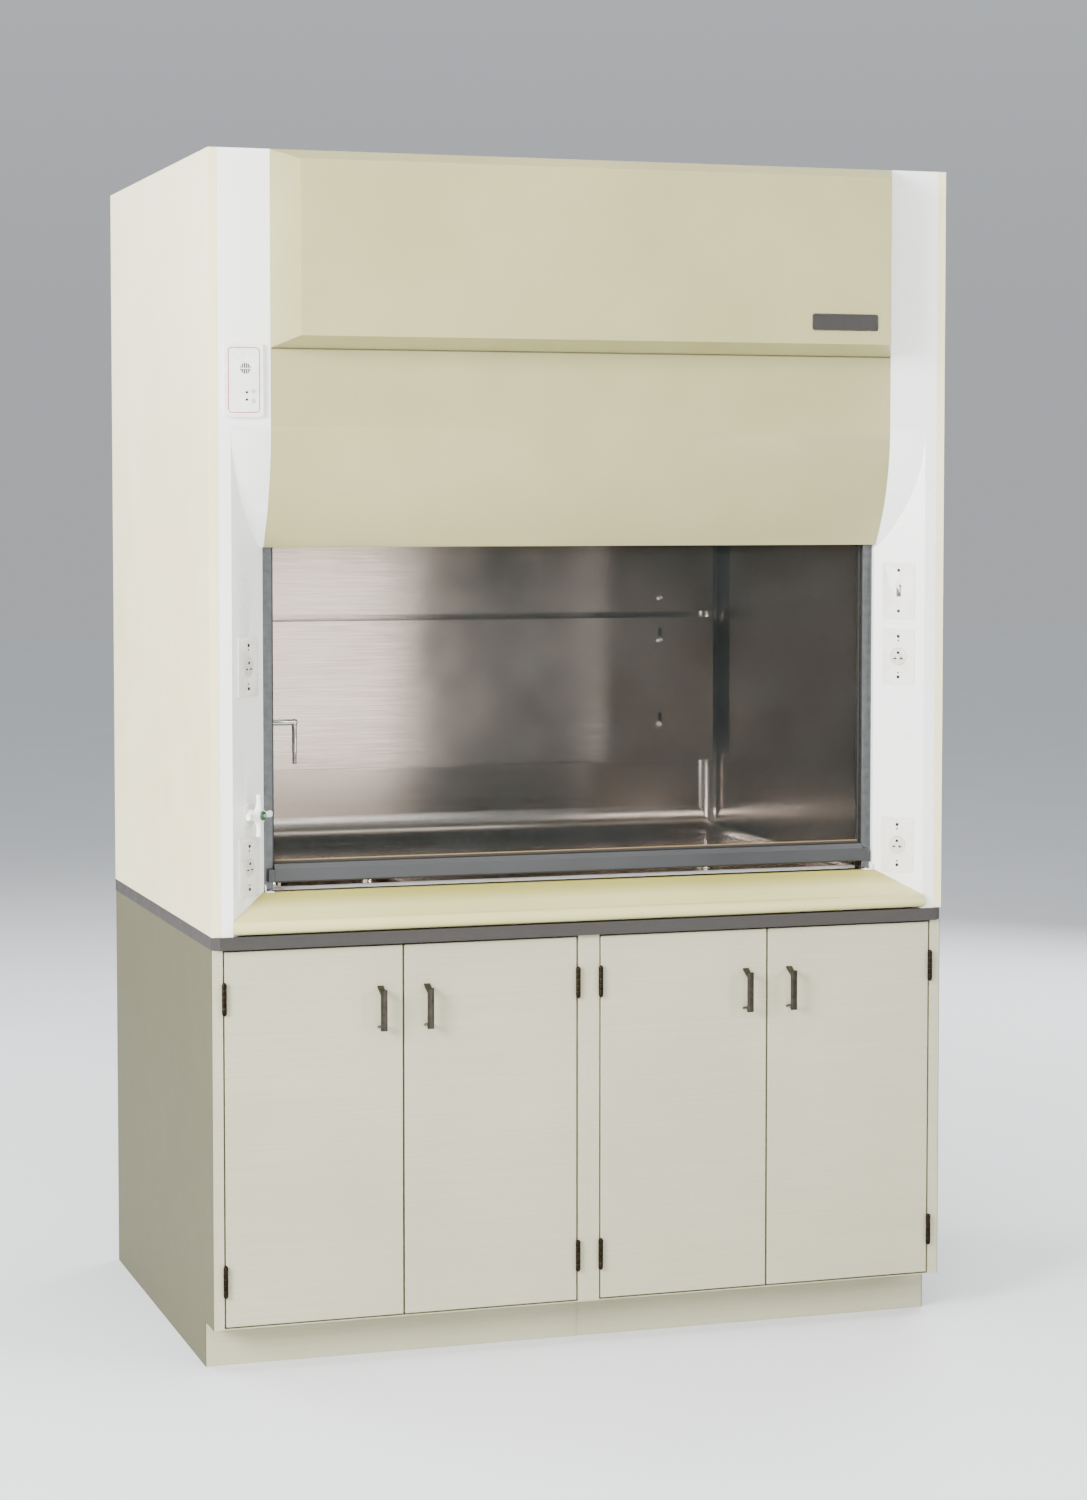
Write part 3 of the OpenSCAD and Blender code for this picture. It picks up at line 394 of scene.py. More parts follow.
@dataclass(frozen=True)
class StudioPaint(Finish):
    """Matt paint or felt of the studio's floor and flag: two near tones, no sheen worth showing."""

    spacing: float = 0.8
    roughness: float = 0.7

    def pattern(self, mix: Mixer) -> None:
        """Slow drift between the two tones."""
        mix.put("Base Color", mix.blended(mix.mottled(self.spacing, 2), self.colour, self.shade))
        mix.put("Roughness", self.roughness)


class Palette:
    """Builds each finish once and hands out its material."""

    def __init__(self) -> None:
        """Names every finish of the hood."""
        self.finishes: dict[str, Finish] = {f.name: f for f in (
            PowderCoat("ivory_powder_coat", "#F8EDC2", "#F0E3B4", 0.42),
            PowderCoat("white_powder_coat", "#FDFDFB", "#F7F6F2", 0.30),
            PowderCoat("sage_powder_coat", "#ABA574", "#9D9765", 0.42),
            # painted shade: the back of the sill's top is multiplied to a deeper olive, standing in for the shade that
            # falls there
            PowderCoat("sill_powder_coat_painted_shade", "#D0CB8C", "#C2BC7C", 0.38, painted_shade_zone=("Y", 0.435, 0.405),
                       painted_shade_tone="#D2D0A0"),
            # painted shade: the cabinets' end sheets beyond |X| = 0.7606 m are multiplied to a deeper tone that stands
            # in for their shade
            PowderCoat("putty_powder_coat_painted_shade", "#B6B396", "#ADAA8E", 0.60, 0.20, ("X", 0.7606, 0.7607), "#7A785C",
                       0.02),
            PowderCoat("rail_powder_coat", "#37383A", "#2D2E2F", 0.36),
            PowderCoat("reflector_enamel", "#E8E8E2", "#DADAD2", 0.3),
            PowderCoat("grey_primer", "#55585A", "#484B4D", 0.55),
            BrushedStainless("stainless_across"),
            # painted shade: the side walls take a darker copy of the brushed steel's colour, standing in for their
            # shade
            BrushedStainless("stainless_side_painted_shade", "#8E8075", "#7C6E64", 0.16, (1, 0.015, 1), (0, 1, 0)),
            BrushedStainless("stainless_floor", "#B5A598", "#A29185", 0.16, (0.015, 1, 1)),
            BrushedStainless("stainless_duct", "#B0ADA8", "#9D9A95", 0.33, (1, 1, 0.05), None, 0.2),
            CastEpoxy("cast_epoxy", "#211C18", "#2E2924"),
            MouldedPlastic("ivory_thermoset", "#EFEDE5", "#E3E0D5", 0.3),
            MouldedPlastic("moulded_nylon", "#DAD5C8", "#CDC8BA", 0.34),
            MouldedPlastic("white_abs", "#F5F4F0", "#E9E7E0", 0.28),
            MouldedPlastic("white_vinyl", "#FBFAF6", "#F0EEE7", 0.35),
            MouldedPlastic("grey_abs", "#C9C7C0", "#B8B6AE", 0.4),
            MouldedPlastic("black_laminate", "#221F1D", "#282422", 0.5),
            MouldedPlastic("index_green", "#174F30", "#0F3E25", 0.22),
            MouldedPlastic("index_light", "#5FA476", "#4C8E63", 0.3),
            MouldedPlastic("border_red", "#C03A48", "#AE3240", 0.4),
            MouldedPlastic("lamp_black", "#1C1C1E", "#2A2A2C", 0.12),
            BrushedStainless("stainless_cove", "#B9B1AA", "#A79E96", 0.2, (0.015, 0.015, 1), None, 0.0),
            PowderCoat("white_epoxy_coat", "#F4F2EC", "#E9E6DE", 0.25),
            PlainMetal("anodised_track", "#6A6C6C", "#585A5A", 0.4, (1, 1, 0.02)),
            PlainMetal("wire_rope", "#8A8C8E", "#5C5E60", 0.45, (1, 1, 0.6)),
            PlainMetal("polished_steel", "#CBC9C4", "#AFADA8", 0.16),
            PlainMetal("zinc_plate", "#94979A", "#7A7D80", 0.38),
            PlainMetal("bronze_plate", "#2E261E", "#1E1812", 0.38),
            # painted reflection: the pulls' satin metal is coloured dark, standing in for the dark surroundings it
            # reflects
            PlainMetal("satin_nickel_painted_reflection", "#48443D", "#37332C", 0.30, (1, 1, 0.03)),
            PlainMetal("phosphate_screw", "#3A3836", "#262423", 0.45),
            ClearGlass("laminated_glass", "#C7D2CE", "#AEBBB6"),
            LitGlass("tube_glow", glow=2.0),
            LitGlass("frosted_window", glow=0.35, alpha=0.85),
            Rubber("epdm_rubber", "#23211F", "#34312E"),
            Rubber("aged_sealant", "#8F7B52", "#755F3A"),
            # painted shadow: a dark sage tone for the header joint bead, standing in for the shadow line under the
            # raised panel
            Rubber("sealant_painted_shadow", "#6E6A4C", "#5C583E"),
            StudioPaint("painted_studio_floor", "#E6E8EA", "#DEE1E4"),
            StudioPaint("black_felt", "#1B1A1A", "#262424", 0.02, 1.0),
        )}
        self.made: dict[str, bpy.types.Material] = {}

    def get(self, name: str) -> bpy.types.Material:
        """Gives a finish's material, building it the first time.

        Args:
            name: the finish's name.

        Returns:
            The material.
        """
        if name not in self.made:
            self.made[name] = self.finishes[name].build()
        return self.made[name]

    def dress(self, piece: bpy.types.Object, name: str) -> None:
        """Puts one finish on every slot of a piece.

        Args:
            piece: a mesh object.
            name: the finish's name.
        """
        piece.data.materials.clear()
        piece.data.materials.append(self.get(name))


# ---------------------------------------------------------------- modelling bench

Test = Callable[[Vector, Vector], bool]


def deselect() -> None:
    """Leaves edit mode and selects nothing."""
    if bpy.context.mode != "OBJECT":
        bpy.ops.object.mode_set(mode="OBJECT")
    bpy.ops.object.select_all(action="DESELECT")


class Blank:
    """A piece on the bench: a primitive that is cut, pulled and rounded in edit mode."""

    def __init__(self, piece: bpy.types.Object) -> None:
        """Takes hold of a mesh object."""
        self.piece = piece

    @classmethod
    def started(cls, name: str, size: Point, place: Point, turn: Point = (0, 0, 0)) -> "Blank":
        """Names the primitive just added and applies its size, turn and place.

        Args:
            name: the piece's name.
            size: scale along each axis.
            place: where its middle goes, in metres.
            turn: rotation about each axis in degrees.

        Returns:
            The piece on the bench.
        """
        piece = bpy.context.object
        piece.name = piece.data.name = name
        piece.scale = size
        piece.rotation_euler = Euler([math.radians(a) for a in turn])
        piece.location = place
        bpy.ops.object.transform_apply(location=True, rotation=True, scale=True)
        return cls(piece)

    @classmethod
    def block(cls, name: str, low: Point, high: Point) -> "Blank":
        """Starts a block between two corners, in metres."""
        deselect()
        bpy.ops.mesh.primitive_cube_add(size=1)
        size = tuple(b - a for a, b in zip(low, high))
        return cls.started(name, size, tuple((a + b) / 2 for a, b in zip(low, high)))

    @classmethod
    def bar(cls, name: str, low: Point, high: Point) -> "Blank":
        """Starts a block between two corners, in millimetres."""
        return cls.block(name, tuple(v * MM for v in low), tuple(v * MM for v in high))

    @classmethod
    def rod(cls, name: str, radius: float, start: float, end: float, centre: Point = (0, 0, 0), sides: int = 32,
            turn: Point = (0, 0, 0)) -> "Blank":
        """Starts a cylinder along Z, then turns it about the origin and moves it.

        Args:
            name: the piece's name.
            radius: its radius in metres.
            start: where it starts along Z.
            end: where it ends along Z.
            centre: where the origin goes after the turn.
            sides: number of sides.
            turn: rotation in degrees.

        Returns:
            The piece on the bench.
        """
        deselect()
        bpy.ops.mesh.primitive_cylinder_add(vertices=sides, radius=radius, depth=end - start,
                                            location=(0, 0, (start + end) / 2))
        bpy.ops.object.transform_apply(location=True)
        return cls.started(name, (1, 1, 1), centre, turn)

    @classmethod
    def ring(cls, name: str, radius: float, centre: Point, turn: Point = (0, 0, 0), sides: int = 12) -> "Blank":
        """Starts an open circle, the end of a tube that is drawn out later, and leaves it selected in edit mode."""
        deselect()
        bpy.ops.mesh.primitive_circle_add(vertices=sides, radius=radius, fill_type="NGON")
        blank = cls.started(name, (1, 1, 1), centre, turn)
        return blank.open_bench()

    @classmethod
    def sheet(cls, name: str, size: tuple[float, float], centre: Point, turn: Point = (0, 0, 0)) -> "Blank":
        """Starts a flat rectangle and leaves it selected in edit mode."""
        deselect()
        bpy.ops.mesh.primitive_plane_add(size=1)
        blank = cls.started(name, (size[0], size[1], 1), centre, turn)
        return blank.open_bench()

    def pick(self) -> "Blank":
        """Selects this piece alone and makes it the active one."""
        deselect()
        bpy.context.view_layer.objects.active = self.piece
        self.piece.select_set(True)
        return self

    def open_bench(self) -> "Blank":
        """Goes to edit mode with everything selected."""
        self.pick()
        bpy.ops.object.mode_set(mode="EDIT")
        bpy.ops.mesh.select_mode(type="FACE")
        bpy.ops.mesh.select_all(action="SELECT")
        return self

    def close_bench(self) -> "Blank":
        """Goes back to object mode."""
        bpy.ops.object.mode_set(mode="OBJECT")
        return self

    def faces(self, test: Test) -> "Blank":
        """Selects the faces whose middle and normal pass a test."""
        self.open_bench().close_bench()
        mesh = self.piece.data
        for edge in mesh.edges:
            edge.select = False
        for vertex in mesh.vertices:
            vertex.select = False
        for face in mesh.polygons:
            face.select = test(face.center, face.normal)
        bpy.ops.object.mode_set(mode="EDIT")
        bpy.ops.mesh.select_mode(type="FACE")
        return self

    def edges(self, test: Test) -> "Blank":
        """Selects the edges whose middle and direction pass a test."""
        self.open_bench().close_bench()
        mesh = self.piece.data
        for face in mesh.polygons:
            face.select = False
        for vertex in mesh.vertices:
            vertex.select = False
        for edge in mesh.edges:
            a, b = (mesh.vertices[i].co for i in edge.vertices)
            edge.select = test((a + b) / 2, (b - a).normalized())
        bpy.context.tool_settings.mesh_select_mode = (False, True, False)
        bpy.ops.object.mode_set(mode="EDIT")
        return self

    def extrude(self, move: Point) -> "Blank":
        """Draws the selected faces out by a move in metres."""
        bpy.ops.mesh.extrude_region_move(TRANSFORM_OT_translate={"value": move})
        return self

    def inset(self, thickness: float, depth: float = 0.0) -> "Blank":
        """Insets the selected faces, and sinks or raises the inner face."""
        bpy.ops.mesh.inset(thickness=thickness, depth=depth)
        return self

    def bend(self, centre: Point, axis: Point, angle: float, steps: int = 6) -> "Blank":
        """Draws the selected face round a bend.

        Args:
            centre: a point on the bend's axis.
            axis: the axis, turned about by the right-hand rule.
            angle: in degrees.
            steps: segments along the bend.

        Returns:
            The piece, with the bend's far end selected.
        """
        bpy.ops.mesh.spin(steps=steps, angle=math.radians(angle), center=centre, axis=axis)
        return self

    def bevel(self, width: float, segments: int = 2, profile: float = 0.5) -> "Blank":
        """Rounds the selected edges, or the edges of the selected faces."""
        bpy.ops.mesh.bevel(offset=width, segments=segments, profile=profile, clamp_overlap=True)
        return self

    def resize(self, factors: Point, centre: Point) -> "Blank":
        """Scales what is selected about a point."""
        bpy.ops.transform.resize(value=factors, center_override=centre)
        return self

    def applied(self, kind: str, **settings: object) -> "Blank":
        """Adds a modifier and applies it.

        Args:
            kind: the modifier's type, such as "BEVEL".
            settings: its properties.

        Returns:
            The piece.
        """
        self.pick()
        modifier = self.piece.modifiers.new(kind.title(), kind)
        for key, value in settings.items():
            setattr(modifier, key, value)
        bpy.ops.object.modifier_apply(modifier=modifier.name)
        return self

    def eased(self, width: float, segments: int = 2, angle: float = 30) -> "Blank":
        """Rounds every sharp edge of the piece by a small radius."""
        return self.applied("BEVEL", width=width, segments=segments, limit_method="ANGLE",
                            angle_limit=math.radians(angle), use_clamp_overlap=True)

    def cut(self, tool: "Blank", operation: str = "DIFFERENCE") -> "Blank":
        """Cuts another piece's shape out of this one, or fuses it on by "UNION", and throws that piece away."""
        self.applied("BOOLEAN", object=tool.piece, operation=operation, solver="EXACT")
        tool.discard()
        return self

    def domed(self, above: float, width: float, segments: int) -> "Blank":
        """Rounds the edges that lie above a height.

        Args:
            above: height in metres.
            width: width of the rounding in metres.
            segments: steps across it.

        Returns:
            The piece.
        """
        return self.edges(lambda c, d: c.z > above).bevel(width, segments).close_bench()

    def dished(self, width: float, depth: float) -> "Blank":
        """Insets the top face and sinks or raises what is inside."""
        return self.faces(lambda c, n: n.z > 0.9).inset(width, depth).close_bench()

    def smooth(self, angle: float = 35) -> "Blank":
        """Shades the piece smooth except at edges sharper than an angle in degrees."""
        self.pick()
        bpy.ops.object.shade_smooth_by_angle(angle=math.radians(angle))
        return self

    def outward(self) -> "Blank":
        """Merges doubles, then turns every face outwards."""
        self.open_bench()
        bpy.ops.mesh.remove_doubles(threshold=1e-6)
        bpy.ops.mesh.normals_make_consistent(inside=False)
        return self.close_bench()

    def moved(self, matrix: Matrix) -> "Blank":
        """Moves the mesh itself by a matrix; the object stays at the origin."""
        self.piece.data.transform(matrix)
        if matrix.determinant() < 0:
            self.open_bench()
            bpy.ops.mesh.flip_normals()
            self.close_bench()
        return self

    def copied(self, name: str, matrix: Matrix) -> "Blank":
        """Copies the piece with its own mesh and moves the copy.

        Args:
            name: the copy's name.
            matrix: where it goes.

        Returns:
            The copy.
        """
        piece = self.piece.copy()
        piece.data = self.piece.data.copy()
        piece.name = piece.data.name = name
        bpy.context.scene.collection.objects.link(piece)
        return Blank(piece).moved(matrix)

    def discard(self) -> None:
        """Throws the piece away."""
        bpy.data.objects.remove(self.piece)

    @staticmethod
    def joined(name: str, blanks: Sequence["Blank"]) -> "Blank":
        """Joins loose pieces to one object without merging their skins.

        Args:
            name: the joined piece's name.
            blanks: the pieces.

        Returns:
            The joined piece.
        """
        deselect()
        for blank in blanks:
            blank.piece.select_set(True)
        bpy.context.view_layer.objects.active = blanks[0].piece
        if len(blanks) > 1:
            bpy.ops.object.join()
        blanks[0].piece.name = blanks[0].piece.data.name = name
        return blanks[0]


class Shop:
    """Where finished pieces are dressed, named and hung on their bodies."""

    def __init__(self, palette: Palette) -> None:
        """Keeps the palette that pieces are dressed from."""
        self.palette = palette

    def fit(self, blank: Blank, finish: str, body: str, replaces: Iterable[str] = ()) -> Blank:
        """Dresses a new piece and hangs it on a body.

        Args:
            blank: the finished piece.
            finish: the name of its finish.
            body: the CAD body that it moves with.
            replaces: CAD nodes that it stands for.

        Returns:
            The piece.
        """
        deselect()
        self.palette.dress(blank.piece, finish)
        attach(blank.piece, body)
        if replaces:
            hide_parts(*replaces)
        log.info("piece %s on %s in %s, %d faces", blank.piece.name, body, finish, len(blank.piece.data.polygons))
        return blank

    def dress_nodes(self, rows: Iterable[tuple[str, str, float]]) -> None:
        """Dresses CAD nodes from rows of node, finish and edge radius in millimetres."""
        for node, finish, edge in rows:
            self.dress_node(node, finish, edge * MM)

    def dress_node(self, node: str, finish: str, edge: float = 0.0, segments: int = 2) -> None:
        """Dresses a CAD node and rounds its edges.

        Args:
            node: the CAD node's name.
            finish: the name of its finish.
            edge: radius of the rounded edges in metres, or 0 to leave them.
            segments: segments across the rounded edge.
        """
        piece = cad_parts[node]
        self.palette.dress(piece, finish)
        if edge:
            weld = piece.modifiers.new("Weld", "WELD")
            weld.merge_threshold = 1e-5
            flat = piece.modifiers.new("Planar", "DECIMATE")
            flat.decimate_type = "DISSOLVE"
            flat.angle_limit = math.radians(0.5)
            bevel = piece.modifiers.new("Eased edges", "BEVEL")
            bevel.width, bevel.segments = edge, segments
            bevel.limit_method, bevel.angle_limit = "ANGLE", math.radians(35)
            bevel.use_clamp_overlap = True
            bevel.harden_normals = True
        log.info("node %s in %s", node, finish)


class Side(Enum):
    """Left or right of the person at the sash."""

    LEFT = -1
    RIGHT = 1


# ---------------------------------------------------------------- sub-assemblies

def placed(x: float, y: float, z: float, turn: float = 0.0) -> Matrix:
    """Gives the matrix that stands a piece at a place in millimetres, turned about Z by degrees."""
    return Matrix.Translation((x * MM, y * MM, z * MM)) @ Matrix.Rotation(math.radians(turn), 4, "Z")


FACING_FRONT = Matrix.Rotation(math.radians(90), 4, "X")
FACING_BACK = Matrix.Rotation(math.radians(-90), 4, "X")


@dataclass
class Layout:
    """Main planes of the hood in millimetres, measured from the CAD pieces."""

    z_top: float = 851
    half_post: float = 720
    bevel: float = 78
    post_front: float = -464.5
    inner: float = 622
    rear: float = 492
    liner_front: float = -346.5
    floor: float = 916
    ceiling: float = 2061

    def on_bevel(self, side: Side, height: float, out: float = 0.0) -> Matrix:
        """Gives the place on a post's bevel at a height above the worktop; local -Y points out.

        Args:
            side: which post.
            height: above the worktop, in millimetres.
            out: distance out of the bevel, in millimetres.

        Returns:
            The matrix of that place.
        """
        half = self.bevel / 2
        root = placed(side.value * (self.half_post - half), self.post_front + half, self.z_top + height,
                      -45 * side.value)
        return root @ Matrix.Translation((0, -out * MM, 0))


@dataclass
class SlottedScrew:
    """Oval-head slotted screw, made once and copied."""

    radius: float = 3.5
    height: float = 1.6
    slot: float = 0.8

    def head(self, name: str) -> Blank:
        """Turns one screw head that stands on Z = 0 and points along +Z."""
        r, h = self.radius * MM, self.height * MM
        head = Blank.rod(name, r, 0, h, sides=20)
        head.domed(h * 0.9, h * 0.75, 3)
        groove = Blank.block(name + "_slot", (-r * 1.3, -self.slot * MM / 2, h * 0.45),
                             (r * 1.3, self.slot * MM / 2, h * 2))
        return head.cut(groove).smooth(30)

    def row(self, name: str, places: Sequence[Matrix]) -> Blank:
        """Copies the head to every place, each turned a little differently, and joins the copies.

        Args:
            name: the joined piece's name.
            places: matrices that take +Z to the direction each head points.

        Returns:
            The joined screws.
        """
        head = self.head(name + "_pattern")
        turns = (12, 96, 41, 150, 73, 118, 5, 64, 132, 27, 88, 160)
        heads = [head.copied(f"{name}_{i}", place @ Matrix.Rotation(math.radians(turns[i % len(turns)]), 4, "Z"))
                 for i, place in enumerate(places)]
        head.discard()
        return Blank.joined(name, heads)


@dataclass
class Shell:
    """Folded outer shell: side, back and roof panels, corner posts, header and collar."""

    layout: Layout
    access: tuple[float, float] = (1000, 620)
    access_middle: float = 1960
    access_face: float = 547.5
    collar_middle: tuple[float, float] = (0, 331)
    collar_circle: float = 140
    roof: float = 2350

    def build(self, shop: Shop) -> None:
        """Dresses the shell's CAD nodes and adds its plate, access cover and screws."""
        shop.dress_nodes((
            ("side_panel_left", "ivory_powder_coat", 1.6),
            ("side_panel_right", "ivory_powder_coat", 1.6),
            ("rear_panel", "ivory_powder_coat", 1.6),
            ("roof_panel", "ivory_powder_coat", 1.2),
            ("exhaust_collar", "stainless_duct", 0.0),
            ("corner_post_left", "white_powder_coat", 1.6),
            ("corner_post_right", "white_powder_coat", 1.6),
            ("header_upper_panel", "sage_powder_coat", 3.0),
            ("header_lower_panel", "sage_powder_coat", 0.7)))
        self.plate_rim(shop)
        self.access_cover(shop)
        self.collar_screws(shop)
        self.header_seam(shop)

    def plate_rim(self, shop: Shop) -> None:
        """Makes the blank name plate: a dark laminate in a bright pressed rim."""
        low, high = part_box("name_plate")
        middle = ((low[0] + high[0]) / 2, low[1] + 0.35 * MM, (low[2] + high[2]) / 2)
        plate = Blank.block("name_plate_face", (low[0] + 0.4 * MM, low[1] + 0.35 * MM, low[2] + 0.4 * MM),
                            (high[0] - 0.4 * MM, high[1], high[2] - 0.4 * MM))
        plate.edges(lambda c, d: abs(d.y) > 0.9).bevel(4 * MM, 6).close_bench()
        shop.fit(plate.smooth(40), "black_laminate", "hood", ["name_plate"])
        rim = rounded_frame("name_plate_rim", (high[0] - low[0], high[2] - low[2]), 4.4 * MM, 1.3 * MM, 0.35 * MM)
        shop.fit(rim.moved(Matrix.Translation(middle)), "polished_steel", "hood")

    def access_cover(self, shop: Shop) -> None:
        """Makes the pressed cover on the back with its slotted screws."""
        w, h, y = self.access[0] / 2 * MM, self.access[1] / 2 * MM, self.access_face * MM
        z = self.access_middle * MM
        cover = Blank.block("rear_access_cover", (-w, y, z - h), (w, y + 1.5 * MM, z + h))
        cover.faces(lambda c, n: n.y > 0.9).inset(24 * MM).inset(5 * MM, 0.9 * MM).close_bench()
        cover.eased(0.5 * MM).smooth()
        shop.fit(cover, "ivory_powder_coat", "hood", ["rear_access_panel"])
        across, up = self.access[0] / 2 - 14, self.access[1] / 2 - 14
        spots = [(k * across, s * up) for k in (-1, -0.5, 0, 0.5, 1) for s in (-1, 1)] + [(-across, 0), (across, 0)]
        screws = SlottedScrew(4.0, 1.6).row("access_cover_screws", [
            placed(x, self.access_face + 1.5, self.access_middle + up_by) @ FACING_BACK for x, up_by in spots])
        shop.fit(screws, "zinc_plate", "hood")

    def collar_screws(self, shop: Shop) -> None:
        """Sets eight screws through the collar's roof flange."""
        x, y = self.collar_middle
        places = [placed(x + self.collar_circle * math.cos(a), y + self.collar_circle * math.sin(a), self.roof + 2)
                  for a in (math.radians(22.5 + 45 * k) for k in range(8))]
        shop.fit(SlottedScrew(4.0, 2.0).row("collar_flange_screws", places), "zinc_plate", "hood")

    def header_seam(self, shop: Shop) -> None:
        """Lays a sealant bead where the raised header panel meets the lower one; its dark tone is painted shadow,
        standing in for the shadow line under the raised panel.
        """
        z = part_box("header_upper_panel")[0][2]
        y = self.layout.post_front * MM
        bead = Blank.block("header_joint_bead_painted_shadow", (-0.640, y - 2.2 * MM, z - 2.4 * MM), (0.640, y - 0.1 * MM, z))
        bead.edges(lambda c, d: abs(d.x) > 0.9 and c.y < y - 1.5 * MM).bevel(1.6 * MM, 3).close_bench()
        shop.fit(bead.smooth(60), "sealant_painted_shadow", "hood")


def rounded_frame(name: str, size: tuple[float, float], radius: float, width: float, height: float) -> Blank:
    """Makes a flat frame with round corners that stands out along -Y from the plane Y = 0.

    Args:
        name: the piece's name.
        size: outer width along X and height along Z, in metres.
        radius: outer corner radius.
        width: width of the frame's band.
        height: how far it stands out.

    Returns:
        The frame, centred on the origin.
    """
    frame_blank = Blank.sheet(name, size, (0, 0, 0), (90, 0, 0))
    bpy.ops.mesh.bevel(offset=radius, segments=6, affect="VERTICES")
    bpy.ops.mesh.select_all(action="SELECT")
    frame_blank.inset(width)
    bpy.ops.mesh.delete(type="FACE")
    bpy.ops.mesh.select_all(action="SELECT")
    frame_blank.extrude((0, -height, 0)).close_bench()
    return frame_blank.outward().smooth(40)


@dataclass
class Chamber:
    """Stainless liner, baffles, work surface with its coves, sink and light."""

    layout: Layout
    cove: float = 66
    side_cove: float = 22
    corner_cove: float = 34
    sink_middle: tuple[float, float] = (-452, -185.5)
    sink: tuple[float, float, float] = (250, 200, 40)
    lip_top: float = 929

    def build(self, shop: Shop) -> None:
        """Dresses the chamber's CAD nodes and adds coves, rims, trim and welds."""
        shop.dress_nodes((
            ("liner_side_left", "stainless_side_painted_shade", 0.0), ("liner_side_right", "stainless_side_painted_shade", 0.0),
            ("liner_rear", "stainless_across", 0.0), ("liner_ceiling", "stainless_across", 0.0),
            ("baffle_upper", "stainless_across", 0.5), ("baffle_lower", "stainless_across", 0.5),
            ("baffle_studs", "polished_steel", 0.0), ("work_surface", "stainless_floor", 1.0),
            ("sink_bowl", "stainless_floor", 1.0), ("sink_drain", "polished_steel", 0.4),
            ("light_housing", "reflector_enamel", 0.8), ("light_tubes", "tube_glow", 0.0),
            ("light_window", "frosted_window", 0.0)))
        self.coves(shop)
        self.sink_rim(shop)
        self.lip_bead(shop)
        self.window_frame(shop)

    def cove_strip(self, name: str, radius: float, low: Point, high: Point, axis_at: Point, turn: Point) -> Blank:
        """Cuts one hollow quarter-round strip.

        Args:
            name: the strip's name.
            radius: radius of the round cut, in metres.
            low: lowest corner of its square bar.
            high: highest corner.
            axis_at: a point on the axis of the round cut.
            turn: turn that lays a rod from Z along the strip.

        Returns:
            The strip.
        """
        bar = Blank.block(name, low, high)
        return bar.cut(Blank.rod(name + "_cut", radius, -1.5, 1.5, axis_at, 96, turn))

    def coves(self, shop: Shop) -> None:
        """Makes the rounded joints of the floor with the back and side walls, and of the back corners."""
        r, x, y = self.cove * MM, self.layout.inner * MM, self.layout.rear * MM
        side_r, corner_r = self.side_cove * MM, self.corner_cove * MM
        z, front, top = self.layout.floor * MM, self.layout.liner_front * MM + 16 * MM, self.layout.ceiling * MM
        strips = [self.cove_strip("cove_back", r, (-x, y - r, z), (x, y, z + r), (0, y - r, z + r), (0, 90, 0))]
        for side in Side:
            wall, axis, post = side.value * x, side.value * (x - side_r), side.value * (x - corner_r)
            name = side.name.lower()
            strips.append(self.cove_strip(f"cove_{name}", side_r, (min(wall, axis), front, z),
                                          (max(wall, axis), y, z + side_r), (axis, 0, z + side_r), (90, 0, 0)))
            strips.append(self.cove_strip(f"cove_corner_{name}", corner_r, (min(wall, post), y - corner_r, z),
                                          (max(wall, post), y, top), (post, y - corner_r, (z + top) / 2), (0, 0, 0)))
        for strip in strips:
            strip.smooth(30)
        shop.fit(Blank.joined("chamber_coves", strips), "stainless_cove", "hood")

    def sink_rim(self, shop: Shop) -> None:
        """Presses the raised rim round the sink and the weld that runs from its corner."""
        rim = rounded_frame("sink_rim", ((self.sink[0] + 22) * MM, (self.sink[1] + 22) * MM),
                            (self.sink[2] + 11) * MM, 10.4 * MM, 1.6 * MM)
        rim.eased(0.7 * MM, 3).smooth(50)
        place = placed(*self.sink_middle, self.layout.floor) @ Matrix.Rotation(math.radians(-90), 4, "X")
        shop.fit(rim.moved(place), "stainless_cove", "hood")
        welds = []
        x, y = self.sink_middle[0] + self.sink[0] / 2 + 4, self.sink_middle[1] + self.sink[1] / 2
        z = self.layout.floor * MM
        for number, angle in enumerate((-38, -74)):
            weld = Blank.block(f"drainboard_bead_{number}", (0, -0.9 * MM, z), (78 * MM, 0.9 * MM, z + 0.9 * MM))
            weld.edges(lambda c, d: abs(d.x) > 0.9 and c.z > z + 0.5 * MM).bevel(0.7 * MM, 2).close_bench()
            welds.append(weld.moved(placed(x, y + 6, 0, angle)))
        shop.fit(Blank.joined("drainboard_beads", welds), "stainless_cove", "hood")

    def lip_bead(self, shop: Shop) -> None:
        """Runs the white edge bead along the top of the work surface's front lip."""
        x, y, z = 0.619, self.layout.liner_front * MM, self.lip_top * MM
        bead = Blank.block("lip_bead", (-x, y - 0.6 * MM, z - 5 * MM), (x, y + 5 * MM, z + 1.4 * MM))
        bead.edges(lambda c, d: abs(d.x) > 0.9 and c.z > z).bevel(1.1 * MM, 3).close_bench()
        channel = Blank.block("lip_bead_channel", (-1, y, z - 9 * MM), (1, y + 9 * MM, z))
        shop.fit(bead.cut(channel).smooth(50), "white_vinyl", "hood")

    def window_frame(self, shop: Shop) -> None:
        """Frames the light's window from below with a gasket."""
        low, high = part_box("light_window")
        size = (high[0] - low[0] + 16 * MM, high[1] - low[1] + 16 * MM)
        gasket = rounded_frame("light_window_gasket", size, 6 * MM, 14 * MM, 1.6 * MM).eased(0.5 * MM)
        place = Matrix.Translation(((low[0] + high[0]) / 2, (low[1] + high[1]) / 2, low[2])) \
            @ Matrix.Rotation(math.radians(90), 4, "X")
        shop.fit(gasket.moved(place), "epdm_rubber", "hood")


